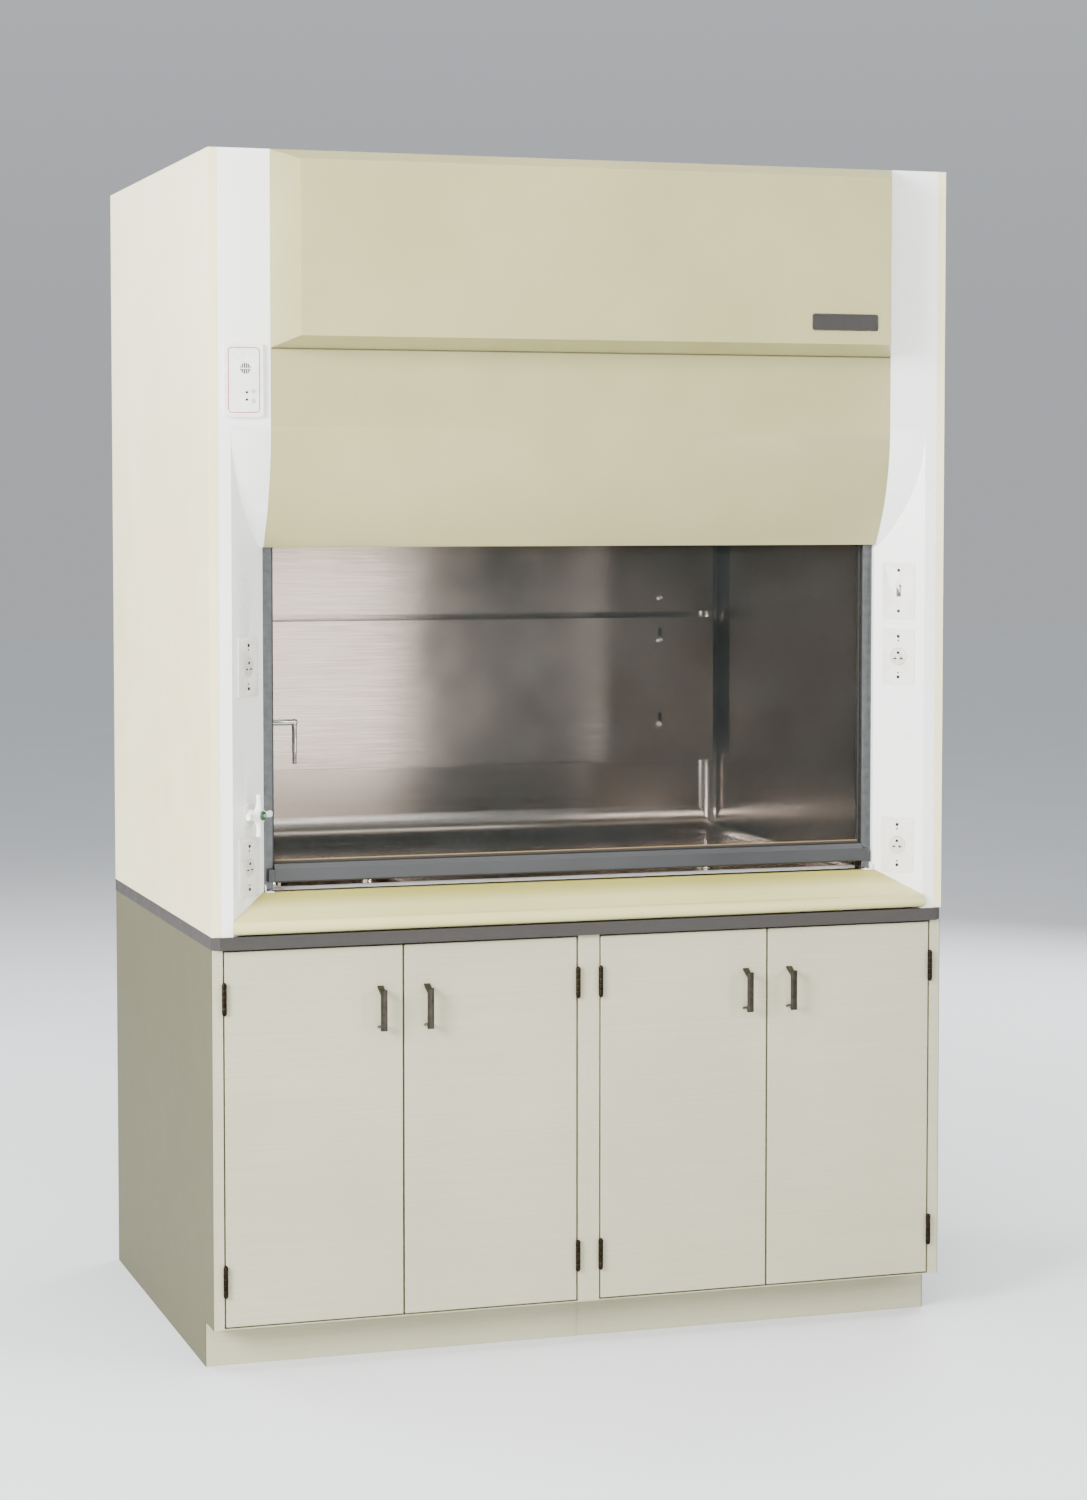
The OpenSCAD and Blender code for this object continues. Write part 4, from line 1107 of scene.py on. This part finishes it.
@dataclass
class BenchTop:
    """Epoxy slab, airfoil sill and the brackets at the sill's ends."""

    layout: Layout
    bracket_x: float = 632
    bracket_y: float = -384
    foot: tuple[Point, Point] = ((-10, -9, 0), (8, 7, 1.4))
    wall: tuple[Point, Point] = ((6.6, -9, 0), (8, 7, 15))
    wall_round: float = 7
    screw_at: Point = (-3, 0, 1.4)

    def build(self, shop: Shop) -> None:
        """Dresses the slab and the sill and adds the brackets."""
        shop.dress_node("worktop_slab", "cast_epoxy", 2.0 * MM, 3)
        shop.dress_node("airfoil_sill", "sill_powder_coat_painted_shade", 1.5 * MM, 3)
        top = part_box("airfoil_sill")[1][2]
        for side in Side:
            self.bracket(shop, side, top)

    def bracket(self, shop: Shop, side: Side, top: float) -> None:
        """Folds one small white corner bracket with its screw.

        Args:
            shop: the shop.
            side: which end of the sill.
            top: height of the sill's rear edge in metres.
        """
        x, y = self.bracket_x * MM, self.bracket_y * MM
        name = f"sill_bracket_{side.name.lower()}"
        base = Blank.bar(name, *self.foot)
        wall = Blank.bar(name + "_wall", *self.wall)
        wall.edges(lambda c, d: abs(d.x) > 0.9 and c.z > 10 * MM and c.y < 0)
        wall.bevel(self.wall_round * MM, 3).close_bench()
        bracket = base.cut(wall, "UNION").eased(0.4 * MM)
        screw = SlottedScrew(2.6, 1.2).head(name + "_screw").moved(placed(*self.screw_at))
        both = Blank.joined(name, [bracket, screw]).smooth(35)
        mirror = Matrix.Scale(side.value, 4, (1, 0, 0))
        shop.fit(both.moved(Matrix.Translation((side.value * x, y, top)) @ mirror), "white_powder_coat", "hood")


@dataclass
class Sash:
    """Vertical sash in its tracks, hung on two cables over common pulley shafts."""

    layout: Layout
    glass: tuple[float, float, float] = (620, 979, 1600)
    plane: float = -361.5
    glass_strip: float = 3.2
    cable_x: float = 632
    cable_r: float = 1.5
    pulley_r: float = 25
    pulley_z: float = 2298
    front_pulley_y: float = -336.5
    rear_pulley_y: float = 488.5
    sash_top: float = 1615
    weight_top: float = 2203
    channel_lip: float = 1.3
    channel_y: tuple[float, float] = (-376.3, -371.2)
    channel_z: tuple[float, float] = (945, 1594)
    cable_rise: float = 12

    def build(self, shop: Shop) -> None:
        """Dresses the sash's CAD nodes and adds seals, run channels and cables."""
        shop.dress_nodes((
            ("sash_tracks", "anodised_track", 0.6), ("sash_glass", "laminated_glass", 0.0),
            ("sash_frame", "anodised_track", 0.6), ("sash_rail", "rail_powder_coat", 1.0),
            ("counterweight", "grey_primer", 1.0), ("front_pulleys", "zinc_plate", 0.4),
            ("rear_pulleys", "zinc_plate", 0.4), ("pulley_brackets", "zinc_plate", 0.5)))
        self.glass_seals(shop)
        self.run_channels(shop)
        self.cables(shop)

    def strip(self, name: str, low: Point, high: Point, round_by: float) -> Blank:
        """Draws one extruded strip with rounded long edges.

        Args:
            name: the strip's name.
            low: lowest corner in millimetres.
            high: highest corner in millimetres.
            round_by: edge radius in millimetres.

        Returns:
            The strip.
        """
        return Blank.bar(name, low, high).eased(round_by * MM, 3).smooth(50)

    def glass_seals(self, shop: Shop) -> None:
        """Beds the glass: a sealant line and a rubber wedge on the rail, and edge strips up its sides."""
        x, low, high = self.glass
        front = self.plane - 3
        shop.fit(self.strip("glass_sealant", (-x + 2, front - 2.6, low + 4.2), (x - 2, front - 0.1, low + 7.0), 1.0),
                 "aged_sealant", "sash")
        shop.fit(self.strip("glass_wedge", (-x + 1, front - 7.5, low), (x - 1, front - 0.1, low + 4.2), 1.2),
                 "epdm_rubber", "sash")
        edges = []
        for side in Side:
            near, far = sorted((side.value * x, side.value * (x - self.glass_strip)))
            edges.append(self.strip(f"glass_edge_{side.name.lower()}", (near, front - 1.2, low + 3),
                                    (far, front - 0.1, high), 0.4))
        shop.fit(Blank.joined("glass_edge_strips", edges), "epdm_rubber", "sash")

    def run_channels(self, shop: Shop) -> None:
        """Lines the tracks' front lips with dark run channel."""
        x = self.layout.inner
        liners = []
        for side in Side:
            near, far = sorted((side.value * (x - self.channel_lip), side.value * x))
            (front, back), (low, high) = self.channel_y, self.channel_z
            liners.append(self.strip(f"run_channel_{side.name.lower()}", (near, front, low), (far, back, high), 0.4))
        shop.fit(Blank.joined("run_channels", liners), "epdm_rubber", "hood")

    def cables(self, shop: Shop) -> None:
        """Makes each cable in three lengths, so that the hanging ones shorten as the sash and weight move."""
        r = self.cable_r * MM
        for side in Side:
            x, name = side.value * self.cable_x * MM, side.name.lower()
            z = self.pulley_z * MM
            top = Blank.ring(f"cable_{name}_over", r, (x, self.plane * MM, z - self.cable_rise * MM), sides=10)
            top.extrude((0, 0, self.cable_rise * MM))
            top.bend((x, self.front_pulley_y * MM, z), (1, 0, 0), -90, 8)
            top.extrude((0, (self.rear_pulley_y - self.front_pulley_y) * MM, 0))
            top.bend((x, self.rear_pulley_y * MM, z), (1, 0, 0), -90, 8)
            top.extrude((0, 0, -self.cable_rise * MM)).close_bench()
            shop.fit(top.outward().smooth(60), "wire_rope", "hood", ["sash_cables"])
            for part, y, low, body in (("front", self.plane, self.sash_top + 6, "sash"),
                                       ("rear", self.rear_pulley_y + self.pulley_r, self.weight_top + 6,
                                        "counterweight")):
                fall = Blank.rod(f"cable_{name}_{part}", r, 0, z - low * MM - 1 * MM, (x, y * MM, low * MM), 10)
                fall.open_bench()
                bpy.ops.mesh.select_all(action="SELECT")
                bpy.ops.mesh.subdivide(number_cuts=1)
                fall.close_bench()
                fall.applied("SUBSURF", subdivision_type="SIMPLE", levels=2, render_levels=2)
                shop.palette.dress(fall.smooth(60).piece, "wire_rope")
                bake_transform(fall.piece)
                log.info("piece %s blends %s to hood", fall.piece.name, body)


@dataclass
class Services:
    """Outlets, light switch, airflow alarm and water valve on the corner posts."""

    layout: Layout
    outlets: tuple[tuple[Side, float], ...] = ((Side.LEFT, 128), (Side.LEFT, 515), (Side.RIGHT, 128),
                                               (Side.RIGHT, 515))
    switch: float = 650
    pitch: float = 83.3
    hole_pitch: float = 66
    plate: float = 2.5
    valve: float = 230
    hub: tuple[Point, Point] = ((-11, -33.5, -11), (11, -15.5, 11))
    arm_at: Point = (0, -24.5, 0)
    arm_reach: float = 23
    arm_steps: tuple[tuple[float, float], ...] = ((11, 0.52), (9, 1.15), (6, 1.2), (2.5, 0.75))
    ring_out: float = 29.5
    centre_out: float = 36.8
    alarm_middle: tuple[float, float] = (-696, 1913)
    alarm_face: float = -474.5
    face_out: float = 1.0
    ground_up: float = 8
    blade: tuple[Point, Point] = ((-3.8, -0.25, -1.2), (3.8, 0, 1.2))
    blade_aside: float = 6.8
    blade_down: float = 4
    border: tuple[float, ...] = (62, 124, 8, 1.6, 0.25)
    lamps_x: float = 5.5
    lamps_up: tuple[float, ...] = (-23, -37)
    speaker_at: Point = (3, 0, 22)
    speaker_r: float = 10.2
    speaker_bars: tuple[float, ...] = (-7.2, -3.6, 0, 3.6, 7.2)

    def build(self, shop: Shop) -> None:
        """Dresses the service fittings and models their small parts."""
        shop.dress_nodes((
            ("cover_plates", "ivory_thermoset", 0.8), ("wiring_devices", "moulded_nylon", 0.3),
            ("switch_lever", "ivory_thermoset", 0.5), ("alarm_case", "white_abs", 0.8),
            ("alarm_button_test", "grey_abs", 0.5), ("alarm_button_mute", "grey_abs", 0.5),
            ("valve_body", "white_epoxy_coat", 0.5), ("water_spout", "polished_steel", 0.4)))
        self.plate_screws(shop)
        self.slot_shade_marks(shop)
        self.valve_handle(shop)
        self.alarm_trim(shop)

    def plate_screws(self, shop: Shop) -> None:
        """Sets two slotted screws in each cover plate."""
        places = [self.layout.on_bevel(side, height + s * self.pitch / 2, self.plate) @ FACING_FRONT
                  for side, height in self.outlets + ((Side.RIGHT, self.switch),) for s in (-1, 1)]
        shop.fit(SlottedScrew(3.4, 1.3).row("cover_plate_screws", places), "phosphate_screw", "hood",
                 ["plate_screws"])

    def slot_shade_marks(self, shop: Shop) -> None:
        """Puts dark discs and slots on every receptacle's face and on the strap's holes above and below it: painted
        shade that stands in for the dark inside these openings.
        """
        painted_slot_shades = []
        for number, (side, height) in enumerate(self.outlets):
            place = self.layout.on_bevel(side, height, self.plate + self.face_out)
            ground = Blank.rod(f"ground_well_{number}", 3.0 * MM, 0, 0.25 * MM, sides=20).dished(0.5 * MM, -0.1 * MM)
            painted_slot_shades.append(ground.moved(place @ placed(0, 0, self.ground_up) @ FACING_FRONT))
            for s in (-1, 1):
                blade = Blank.bar(f"blade_well_{number}_{s}", *self.blade)
                blade.faces(lambda c, n: n.y < -0.9).inset(0.25 * MM, -0.08 * MM).close_bench()
                painted_slot_shades.append(blade.moved(place @ placed(self.blade_aside * s, 0, -self.blade_down)))
            for s in (-1, 1):
                hole = Blank.rod(f"strap_hole_{number}_{s}", 1.9 * MM, 0, 0.3 * MM, sides=16)
                hole.dished(0.4 * MM, -0.12 * MM)
                painted_slot_shades.append(hole.moved(place @ placed(0, self.face_out, s * self.hole_pitch / 2) @ FACING_FRONT))
        shop.fit(Blank.joined("receptacle_painted_slot_shade", painted_slot_shades), "lamp_black", "hood")

    def valve_handle(self, shop: Shop) -> None:
        """Moulds the four-arm handle and its colour index."""
        out = self.layout.on_bevel(Side.LEFT, self.valve)
        hub = Blank.bar("water_valve_handle", *self.hub)
        for way in ((1, 0, 0), (-1, 0, 0), (0, 0, 1), (0, 0, -1)):
            axis = Vector(way)
            middle = tuple(axis * self.arm_reach * MM + Vector(self.arm_at) * MM)
            hub.faces(lambda c, n, a=axis: n.dot(a) > 0.9 and c.dot(a) > 9 * MM)
            for reach, factor in self.arm_steps:
                hub.extrude(tuple(axis * reach * MM)).resize((factor,) * 3, middle)
            hub.close_bench()
        hub.applied("SUBSURF", levels=3, render_levels=3)
        shop.fit(hub.smooth(60).moved(out), "white_abs", "water_valve", ["valve_handle"])
        ring = Blank.rod("valve_index_ring", 9.4 * MM, 0, 7.5 * MM, sides=48)
        ring.domed(7 * MM, 5.0 * MM, 6)
        shop.fit(ring.smooth(50).moved(out @ placed(0, -self.ring_out, 0) @ FACING_FRONT), "index_green",
                 "water_valve", ["valve_index"])
        centre = Blank.rod("valve_index_centre", 3.6 * MM, 0, 1.6 * MM, sides=40)
        centre.domed(1.5 * MM, 1.2 * MM, 4)
        shop.fit(centre.smooth(50).moved(out @ placed(0, -self.centre_out, 0) @ FACING_FRONT), "index_light",
                 "water_valve")

    def alarm_trim(self, shop: Shop) -> None:
        """Prints the alarm's red border, and sets its lamps and speaker grille."""
        x, z = self.alarm_middle
        face = placed(x, self.alarm_face, z)
        wide, tall, round_by, band, thick = (v * MM for v in self.border)
        border = rounded_frame("alarm_border", (wide, tall), round_by, band, thick)
        shop.fit(border.moved(face), "border_red", "hood")
        lamps = []
        for up in self.lamps_up:
            lamp = Blank.rod(f"alarm_lamp_{-up}", 2.4 * MM, 0, 1.6 * MM, sides=24)
            lamp.domed(1.4 * MM, 1.2 * MM, 4)
            lamps.append(lamp.smooth(50).moved(face @ placed(self.lamps_x, 0, up) @ FACING_FRONT))
        shop.fit(Blank.joined("alarm_lamps", lamps), "lamp_black", "hood")
        r = self.speaker_r
        cloth = Blank.rod("alarm_speaker_cloth", r * MM, 0, 0.4 * MM, sides=48).dished(0.8 * MM, -0.15 * MM)
        speaker = face @ placed(*self.speaker_at) @ FACING_FRONT
        shop.fit(cloth.moved(speaker), "lamp_black", "hood")
        bars = []
        for number, at in enumerate(self.speaker_bars):
            half = math.sqrt(r ** 2 - at ** 2)
            bars.append(Blank.bar(f"speaker_bar_{number}", (at - 0.55, -half, 0.2), (at + 0.55, half, 0.9)))
        bars.append(Blank.bar("speaker_cross", (-r, -0.8, 0.2), (r, 0.8, 0.95)))
        for bar in bars:
            bar.eased(0.2 * MM)
        shop.fit(Blank.joined("alarm_speaker_bars", bars).moved(speaker), "white_abs", "hood")


@dataclass
class BaseCabinets:
    """Two steel cabinets with four doors on bronze hinges and bent flat pulls."""

    hinge_x: tuple[float, ...] = (-738.25, -23.75, 23.75, 738.25)
    hinge_y: float = -463.7
    hinge_z: tuple[float, ...] = (183.5, 731.5)
    hinge_h: float = 58
    knuckle_r: float = 4.75
    knuckle_gap: float = 0.4
    leaf: tuple[float, float, float] = (0.35, 1.4, 18)
    pull_z: float = 648.5
    pull: tuple[float, ...] = (13, 5, 30, 9, 90, 7)
    door_front: float = -458.5
    catch_in: float = 27
    catch_z: float = 797
    catch_aside: float = 18

    def build(self, shop: Shop) -> None:
        """Dresses the cabinets and doors, and makes pulls, hinge leaves, tips and catches."""
        for node in ("cabinet_left", "cabinet_right", "cabinet_shelves", "toe_boards"):
            shop.dress_node(node, "putty_powder_coat_painted_shade", 1.0 * MM)
        shop.dress_node("hinge_frames", "bronze_plate", 0.3 * MM)
        pattern = self.pull_pattern()
        for number in (1, 2, 3, 4):
            shop.dress_node(f"door_{number}_panel", "putty_powder_coat_painted_shade", 1.6 * MM)
            body = f"door_{number}"
            swing = 1 if number % 2 else -1
            pull = pattern.copied(f"{body}_pull", placed(self.pull_centre(number), self.door_front, self.pull_z))
            shop.fit(pull, "satin_nickel_painted_reflection", body, [f"{body}_fittings"])
            shop.fit(self.hinge_leaves(number, swing), "bronze_plate", body)
        pattern.discard()
        self.hinge_tips(shop)
        self.catches(shop)

    def pull_centre(self, number: int) -> float:
        """Gives the middle of a door's pull along X, from the CAD fittings' box."""
        low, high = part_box(f"door_{number}_fittings")
        hinge = self.hinge_x[number - 1] * MM
        far = high[0] if number % 2 else low[0]
        return (far + (-1 if far > hinge else 1) * self.pull[0] / 2 * MM) / MM

    def pull_pattern(self) -> Blank:
        """Bends one flat pull: a bar with two arms that slant back to the door."""
        width, thick, out, low, high, radius = (v * MM for v in self.pull)
        pull = Blank.block("pull_pattern", (-width / 2, -out, low), (width / 2, -out + thick, high))
        for z, angle, way in ((high, -62, 1), (low, 80, -1)):
            pull.faces(lambda c, n, w=way: n.z * w > 0.9)
            pull.bend((0, -out + thick + radius, z), (1, 0, 0), angle, 6)
            turn = math.radians(abs(angle))
            pull.extrude((0, math.sin(turn) * (out - thick), way * math.cos(turn) * (out - thick)))
            pull.resize((1, 0, 1), (0, 0, 0)).close_bench()
        return pull.outward().eased(1.0 * MM, 3, 40).smooth(40)

    def hinge_leaves(self, number: int, swing: int) -> Blank:
        """Makes a door's two hinge leaves with their knuckles.

        Args:
            number: the door, 1 to 4 from the left.
            swing: 1 when the door hangs on its left edge, -1 on its right.

        Returns:
            The leaves.
        """
        x = self.hinge_x[number - 1] * MM
        step = (self.hinge_h - 4 * self.knuckle_gap) / 5
        parts = []
        for which, middle in enumerate(self.hinge_z):
            foot = middle - self.hinge_h / 2
            near, far = sorted((x + swing * self.leaf[0] * MM, x + swing * (self.leaf[0] + self.leaf[1]) * MM))
            plate = Blank.block(f"leaf_{number}_{which}", (near, (self.hinge_y + 4.6) * MM, foot * MM),
                                (far, (self.hinge_y + 5.3 + self.leaf[2]) * MM, (foot + self.hinge_h) * MM))
            parts.append(plate.eased(0.3 * MM))
            for knuckle in (1, 3):
                low = foot + knuckle * (step + self.knuckle_gap)
                rod = Blank.rod(f"knuckle_{number}_{which}_{knuckle}", self.knuckle_r * MM, low * MM,
                                (low + step) * MM, (x, self.hinge_y * MM, 0), 32)
                parts.append(rod.eased(0.6 * MM, 2).smooth(40))
        return Blank.joined(f"door_{number}_hinge_leaves", parts)

    def hinge_tips(self, shop: Shop) -> None:
        """Adds the button tips at both ends of every hinge pin."""
        tip = Blank.rod("hinge_tip_pattern", 3.4 * MM, 0, 2.6 * MM, sides=24)
        tip.domed(2 * MM, 2.0 * MM, 4).smooth(50)
        tips = []
        for x in self.hinge_x:
            for middle in self.hinge_z:
                for way in (1, -1):
                    place = placed(x, self.hinge_y, middle + way * (self.hinge_h / 2 + 0.4))
                    flip = Matrix.Rotation(0 if way > 0 else math.pi, 4, "X")
                    tips.append(tip.copied(f"hinge_tip_{len(tips)}", place @ flip))
        tip.discard()
        shop.fit(Blank.joined("hinge_pin_tips", tips), "bronze_plate", "hood")

    def catches(self, shop: Shop) -> None:
        """Hangs a roller catch behind each door's free edge, under the top rail."""
        catches = []
        y, z = self.door_front + self.catch_in, self.catch_z
        for number in (1, 2, 3, 4):
            x = self.pull_centre(number) + (self.catch_aside if number % 2 else -self.catch_aside)
            case = Blank.bar(f"catch_case_{number}", (x - 17, y, z), (x + 17, y + 20, z + 3))
            parts = [case.eased(0.8 * MM)]
            for s in (-1, 1):
                at = x + 7 * s
                arm = Blank.bar(f"catch_arm_{number}_{s}", (at - 2, y + 2, z - 12), (at + 2, y + 14, z))
                roller = Blank.rod(f"catch_roller_{number}_{s}", 4 * MM, -5 * MM, 5 * MM,
                                   (at * MM, (y + 5) * MM, (z - 14) * MM), 24, (90, 0, 0))
                parts += [arm.eased(0.5 * MM), roller.eased(0.8 * MM).smooth(40)]
            catches.append(Blank.joined(f"catch_{number}", parts))
        shop.fit(Blank.joined("door_catches", catches), "zinc_plate", "hood")


@dataclass
class Studio:
    """Pale floor, soft lights and the camera."""

    camera_place: Point = (-2.0306, -6.4414, 1.6827)
    camera_yaw: float = 17.93
    camera_pitch: float = -3.28
    lens: float = 76.88
    rise: float = -0.0431
    lights: tuple[tuple[str, Point, Point, float, float], ...] = (
        ("key_left", (-4.9, -3.7, 2.9), (0, -0.3, 1.3), 2.2, 900),
        ("front_high", (-1.6, -5.6, 4.6), (0, -0.3, 1.1), 2.2, 170),
        ("fill_right", (4.5, -4.8, 2.2), (-0.5, -0.3, 1.2), 1.8, 190),
        ("overhead", (0.2, -0.9, 5.0), (0, 0, 1.0), 3.0, 190),
        ("back_left", (-3.6, 4.2, 3.2), (0, 0.3, 1.2), 2.6, 260),
        ("back_right", (3.8, 3.8, 2.8), (0, 0.3, 1.2), 2.6, 260),
    )
    strips: tuple[tuple[str, Point, Point, tuple[float, float], float], ...] = (
        ("strip_near", (0.51, -3.6, 1.25), (-0.45, 0.4, 1.35), (0.90, 2.6), 29.0),
        ("strip_far", (1.74, -3.6, 1.25), (0.28, 0.4, 1.35), (0.16, 2.4), 0.5),
    )
    dim_surround: float = 0.10
    pale_surround: float = 0.95
    far_floor: float = 0.68
    card: tuple[Point, Point] = ((-5.0, -7.6, 0.3), (7.0, -7.55, 3.6))
    tube_light: tuple[Point, tuple[float, float], float] = ((0, -0.1965, 2.055), (1.08, 0.13), 1.0)

    def build(self, palette: Palette) -> None:
        """Builds the floor, the lights, the sky and the camera."""
        self.floor(palette)
        for name, place, target, size, power in self.lights:
            self.softbox(name, place, target, (size, size), power)
        for name, place, target, sides, power in self.strips:
            self.softbox(name, place, target, sides, power)
        place, sides, power = self.tube_light
        self.softbox("tube_glow_on_chamber", place, (place[0], place[1] + 0.01, 0), sides, power)
        self.dark_card(palette)
        self.sky()
        self.camera()

    def dark_card(self, palette: Palette) -> None:
        """Stands a dark flag behind the camera, so that the brushed steel has something dark to reflect."""
        card = Blank.block("studio_dark_card", *self.card).piece
        card.visible_camera = False
        palette.dress(card, "black_felt")

    def floor(self, palette: Palette) -> None:
        """Lays a plain pale floor."""
        deselect()
        bpy.ops.mesh.primitive_plane_add(size=60)
        floor = bpy.context.object
        floor.name = "studio_floor"
        palette.dress(floor, "painted_studio_floor")

    def softbox(self, name: str, place: Point, target: Point, sides: tuple[float, float], power: float) -> None:
        """Hangs one flat soft light.

        Args:
            name: the light's name.
            place: where it hangs.
            target: the point it faces.
            sides: its width and height in metres.
            power: in watts.
        """
        data = bpy.data.lights.new(name, "AREA")
        data.shape, data.size, data.size_y, data.energy = "RECTANGLE", sides[0], sides[1], power
        light = bpy.data.objects.new(name, data)
        light.location = place
        light.rotation_euler = (Vector(target) - Vector(place)).to_track_quat("-Z", "Y").to_euler()
        bpy.context.scene.collection.objects.link(light)

    def sky(self) -> None:
        """Sets a surround, pale to the camera; for all else it is dim low on the front, so that steel reflects dark."""
        world = bpy.data.worlds.new("studio_surround")
        bpy.context.scene.world = world
        world.use_nodes = True
        tree = world.node_tree
        background = tree.nodes["Background"]
        way = add_node(tree, "ShaderNodeSeparateXYZ", {0: add_node(tree, "ShaderNodeTexCoord").outputs["Generated"]})
        back = add_node(tree, "ShaderNodeMapRange", {
            "Value": way.outputs["Y"], "From Min": -0.5, "From Max": 0.2, "To Min": 0.0, "To Max": 1.0})
        high = add_node(tree, "ShaderNodeMapRange", {
            "Value": way.outputs["Z"], "From Min": 0.15, "From Max": 0.7, "To Min": 0.0, "To Max": 1.0})
        pale = add_node(tree, "ShaderNodeMath", {0: back.outputs[0], 1: high.outputs[0]}, operation="MAXIMUM")
        seen = add_node(tree, "ShaderNodeMath", {
            0: pale.outputs[0], 1: add_node(tree, "ShaderNodeLightPath").outputs["Is Camera Ray"]},
            operation="MAXIMUM")
        rise = add_node(tree, "ShaderNodeMapRange", {
            "Value": way.outputs["Z"], "From Min": 0.0, "From Max": 0.35, "To Min": self.far_floor,
            "To Max": self.pale_surround}, interpolation_type="SMOOTHSTEP")
        strength = add_node(tree, "ShaderNodeMapRange", {
            "Value": seen.outputs[0], "To Min": self.dim_surround, "To Max": rise.outputs[0]})
        background.inputs[0].default_value = linear("#D3D7DC")
        tree.links.new(strength.outputs[0], background.inputs[1])

    def camera(self) -> None:
        """Stands the camera to the left of the front."""
        data = bpy.data.cameras.new("camera")
        data.lens, data.sensor_width, data.sensor_height, data.sensor_fit = self.lens, 36, 36, "VERTICAL"
        data.shift_y = self.rise
        camera = bpy.data.objects.new("camera", data)
        camera.location = self.camera_place
        camera.rotation_euler = Euler((math.radians(90 + self.camera_pitch), 0, -math.radians(self.camera_yaw)))
        bpy.context.scene.collection.objects.link(camera)
        bpy.context.scene.camera = camera


def main() -> None:
    """Builds the hood's looks in order."""
    logging.basicConfig(level=logging.INFO, format="%(name)s: %(message)s")
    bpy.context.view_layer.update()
    shop = Shop(Palette())
    Studio().build(shop.palette)
    layout = Layout()
    for assembly in (Shell(layout), Chamber(layout), BenchTop(layout), Sash(layout), Services(layout),
                     BaseCabinets()):
        log.info("sub-assembly %s", type(assembly).__name__)
        assembly.build(shop)
    deselect()


if __name__ == "__main__":
    main()
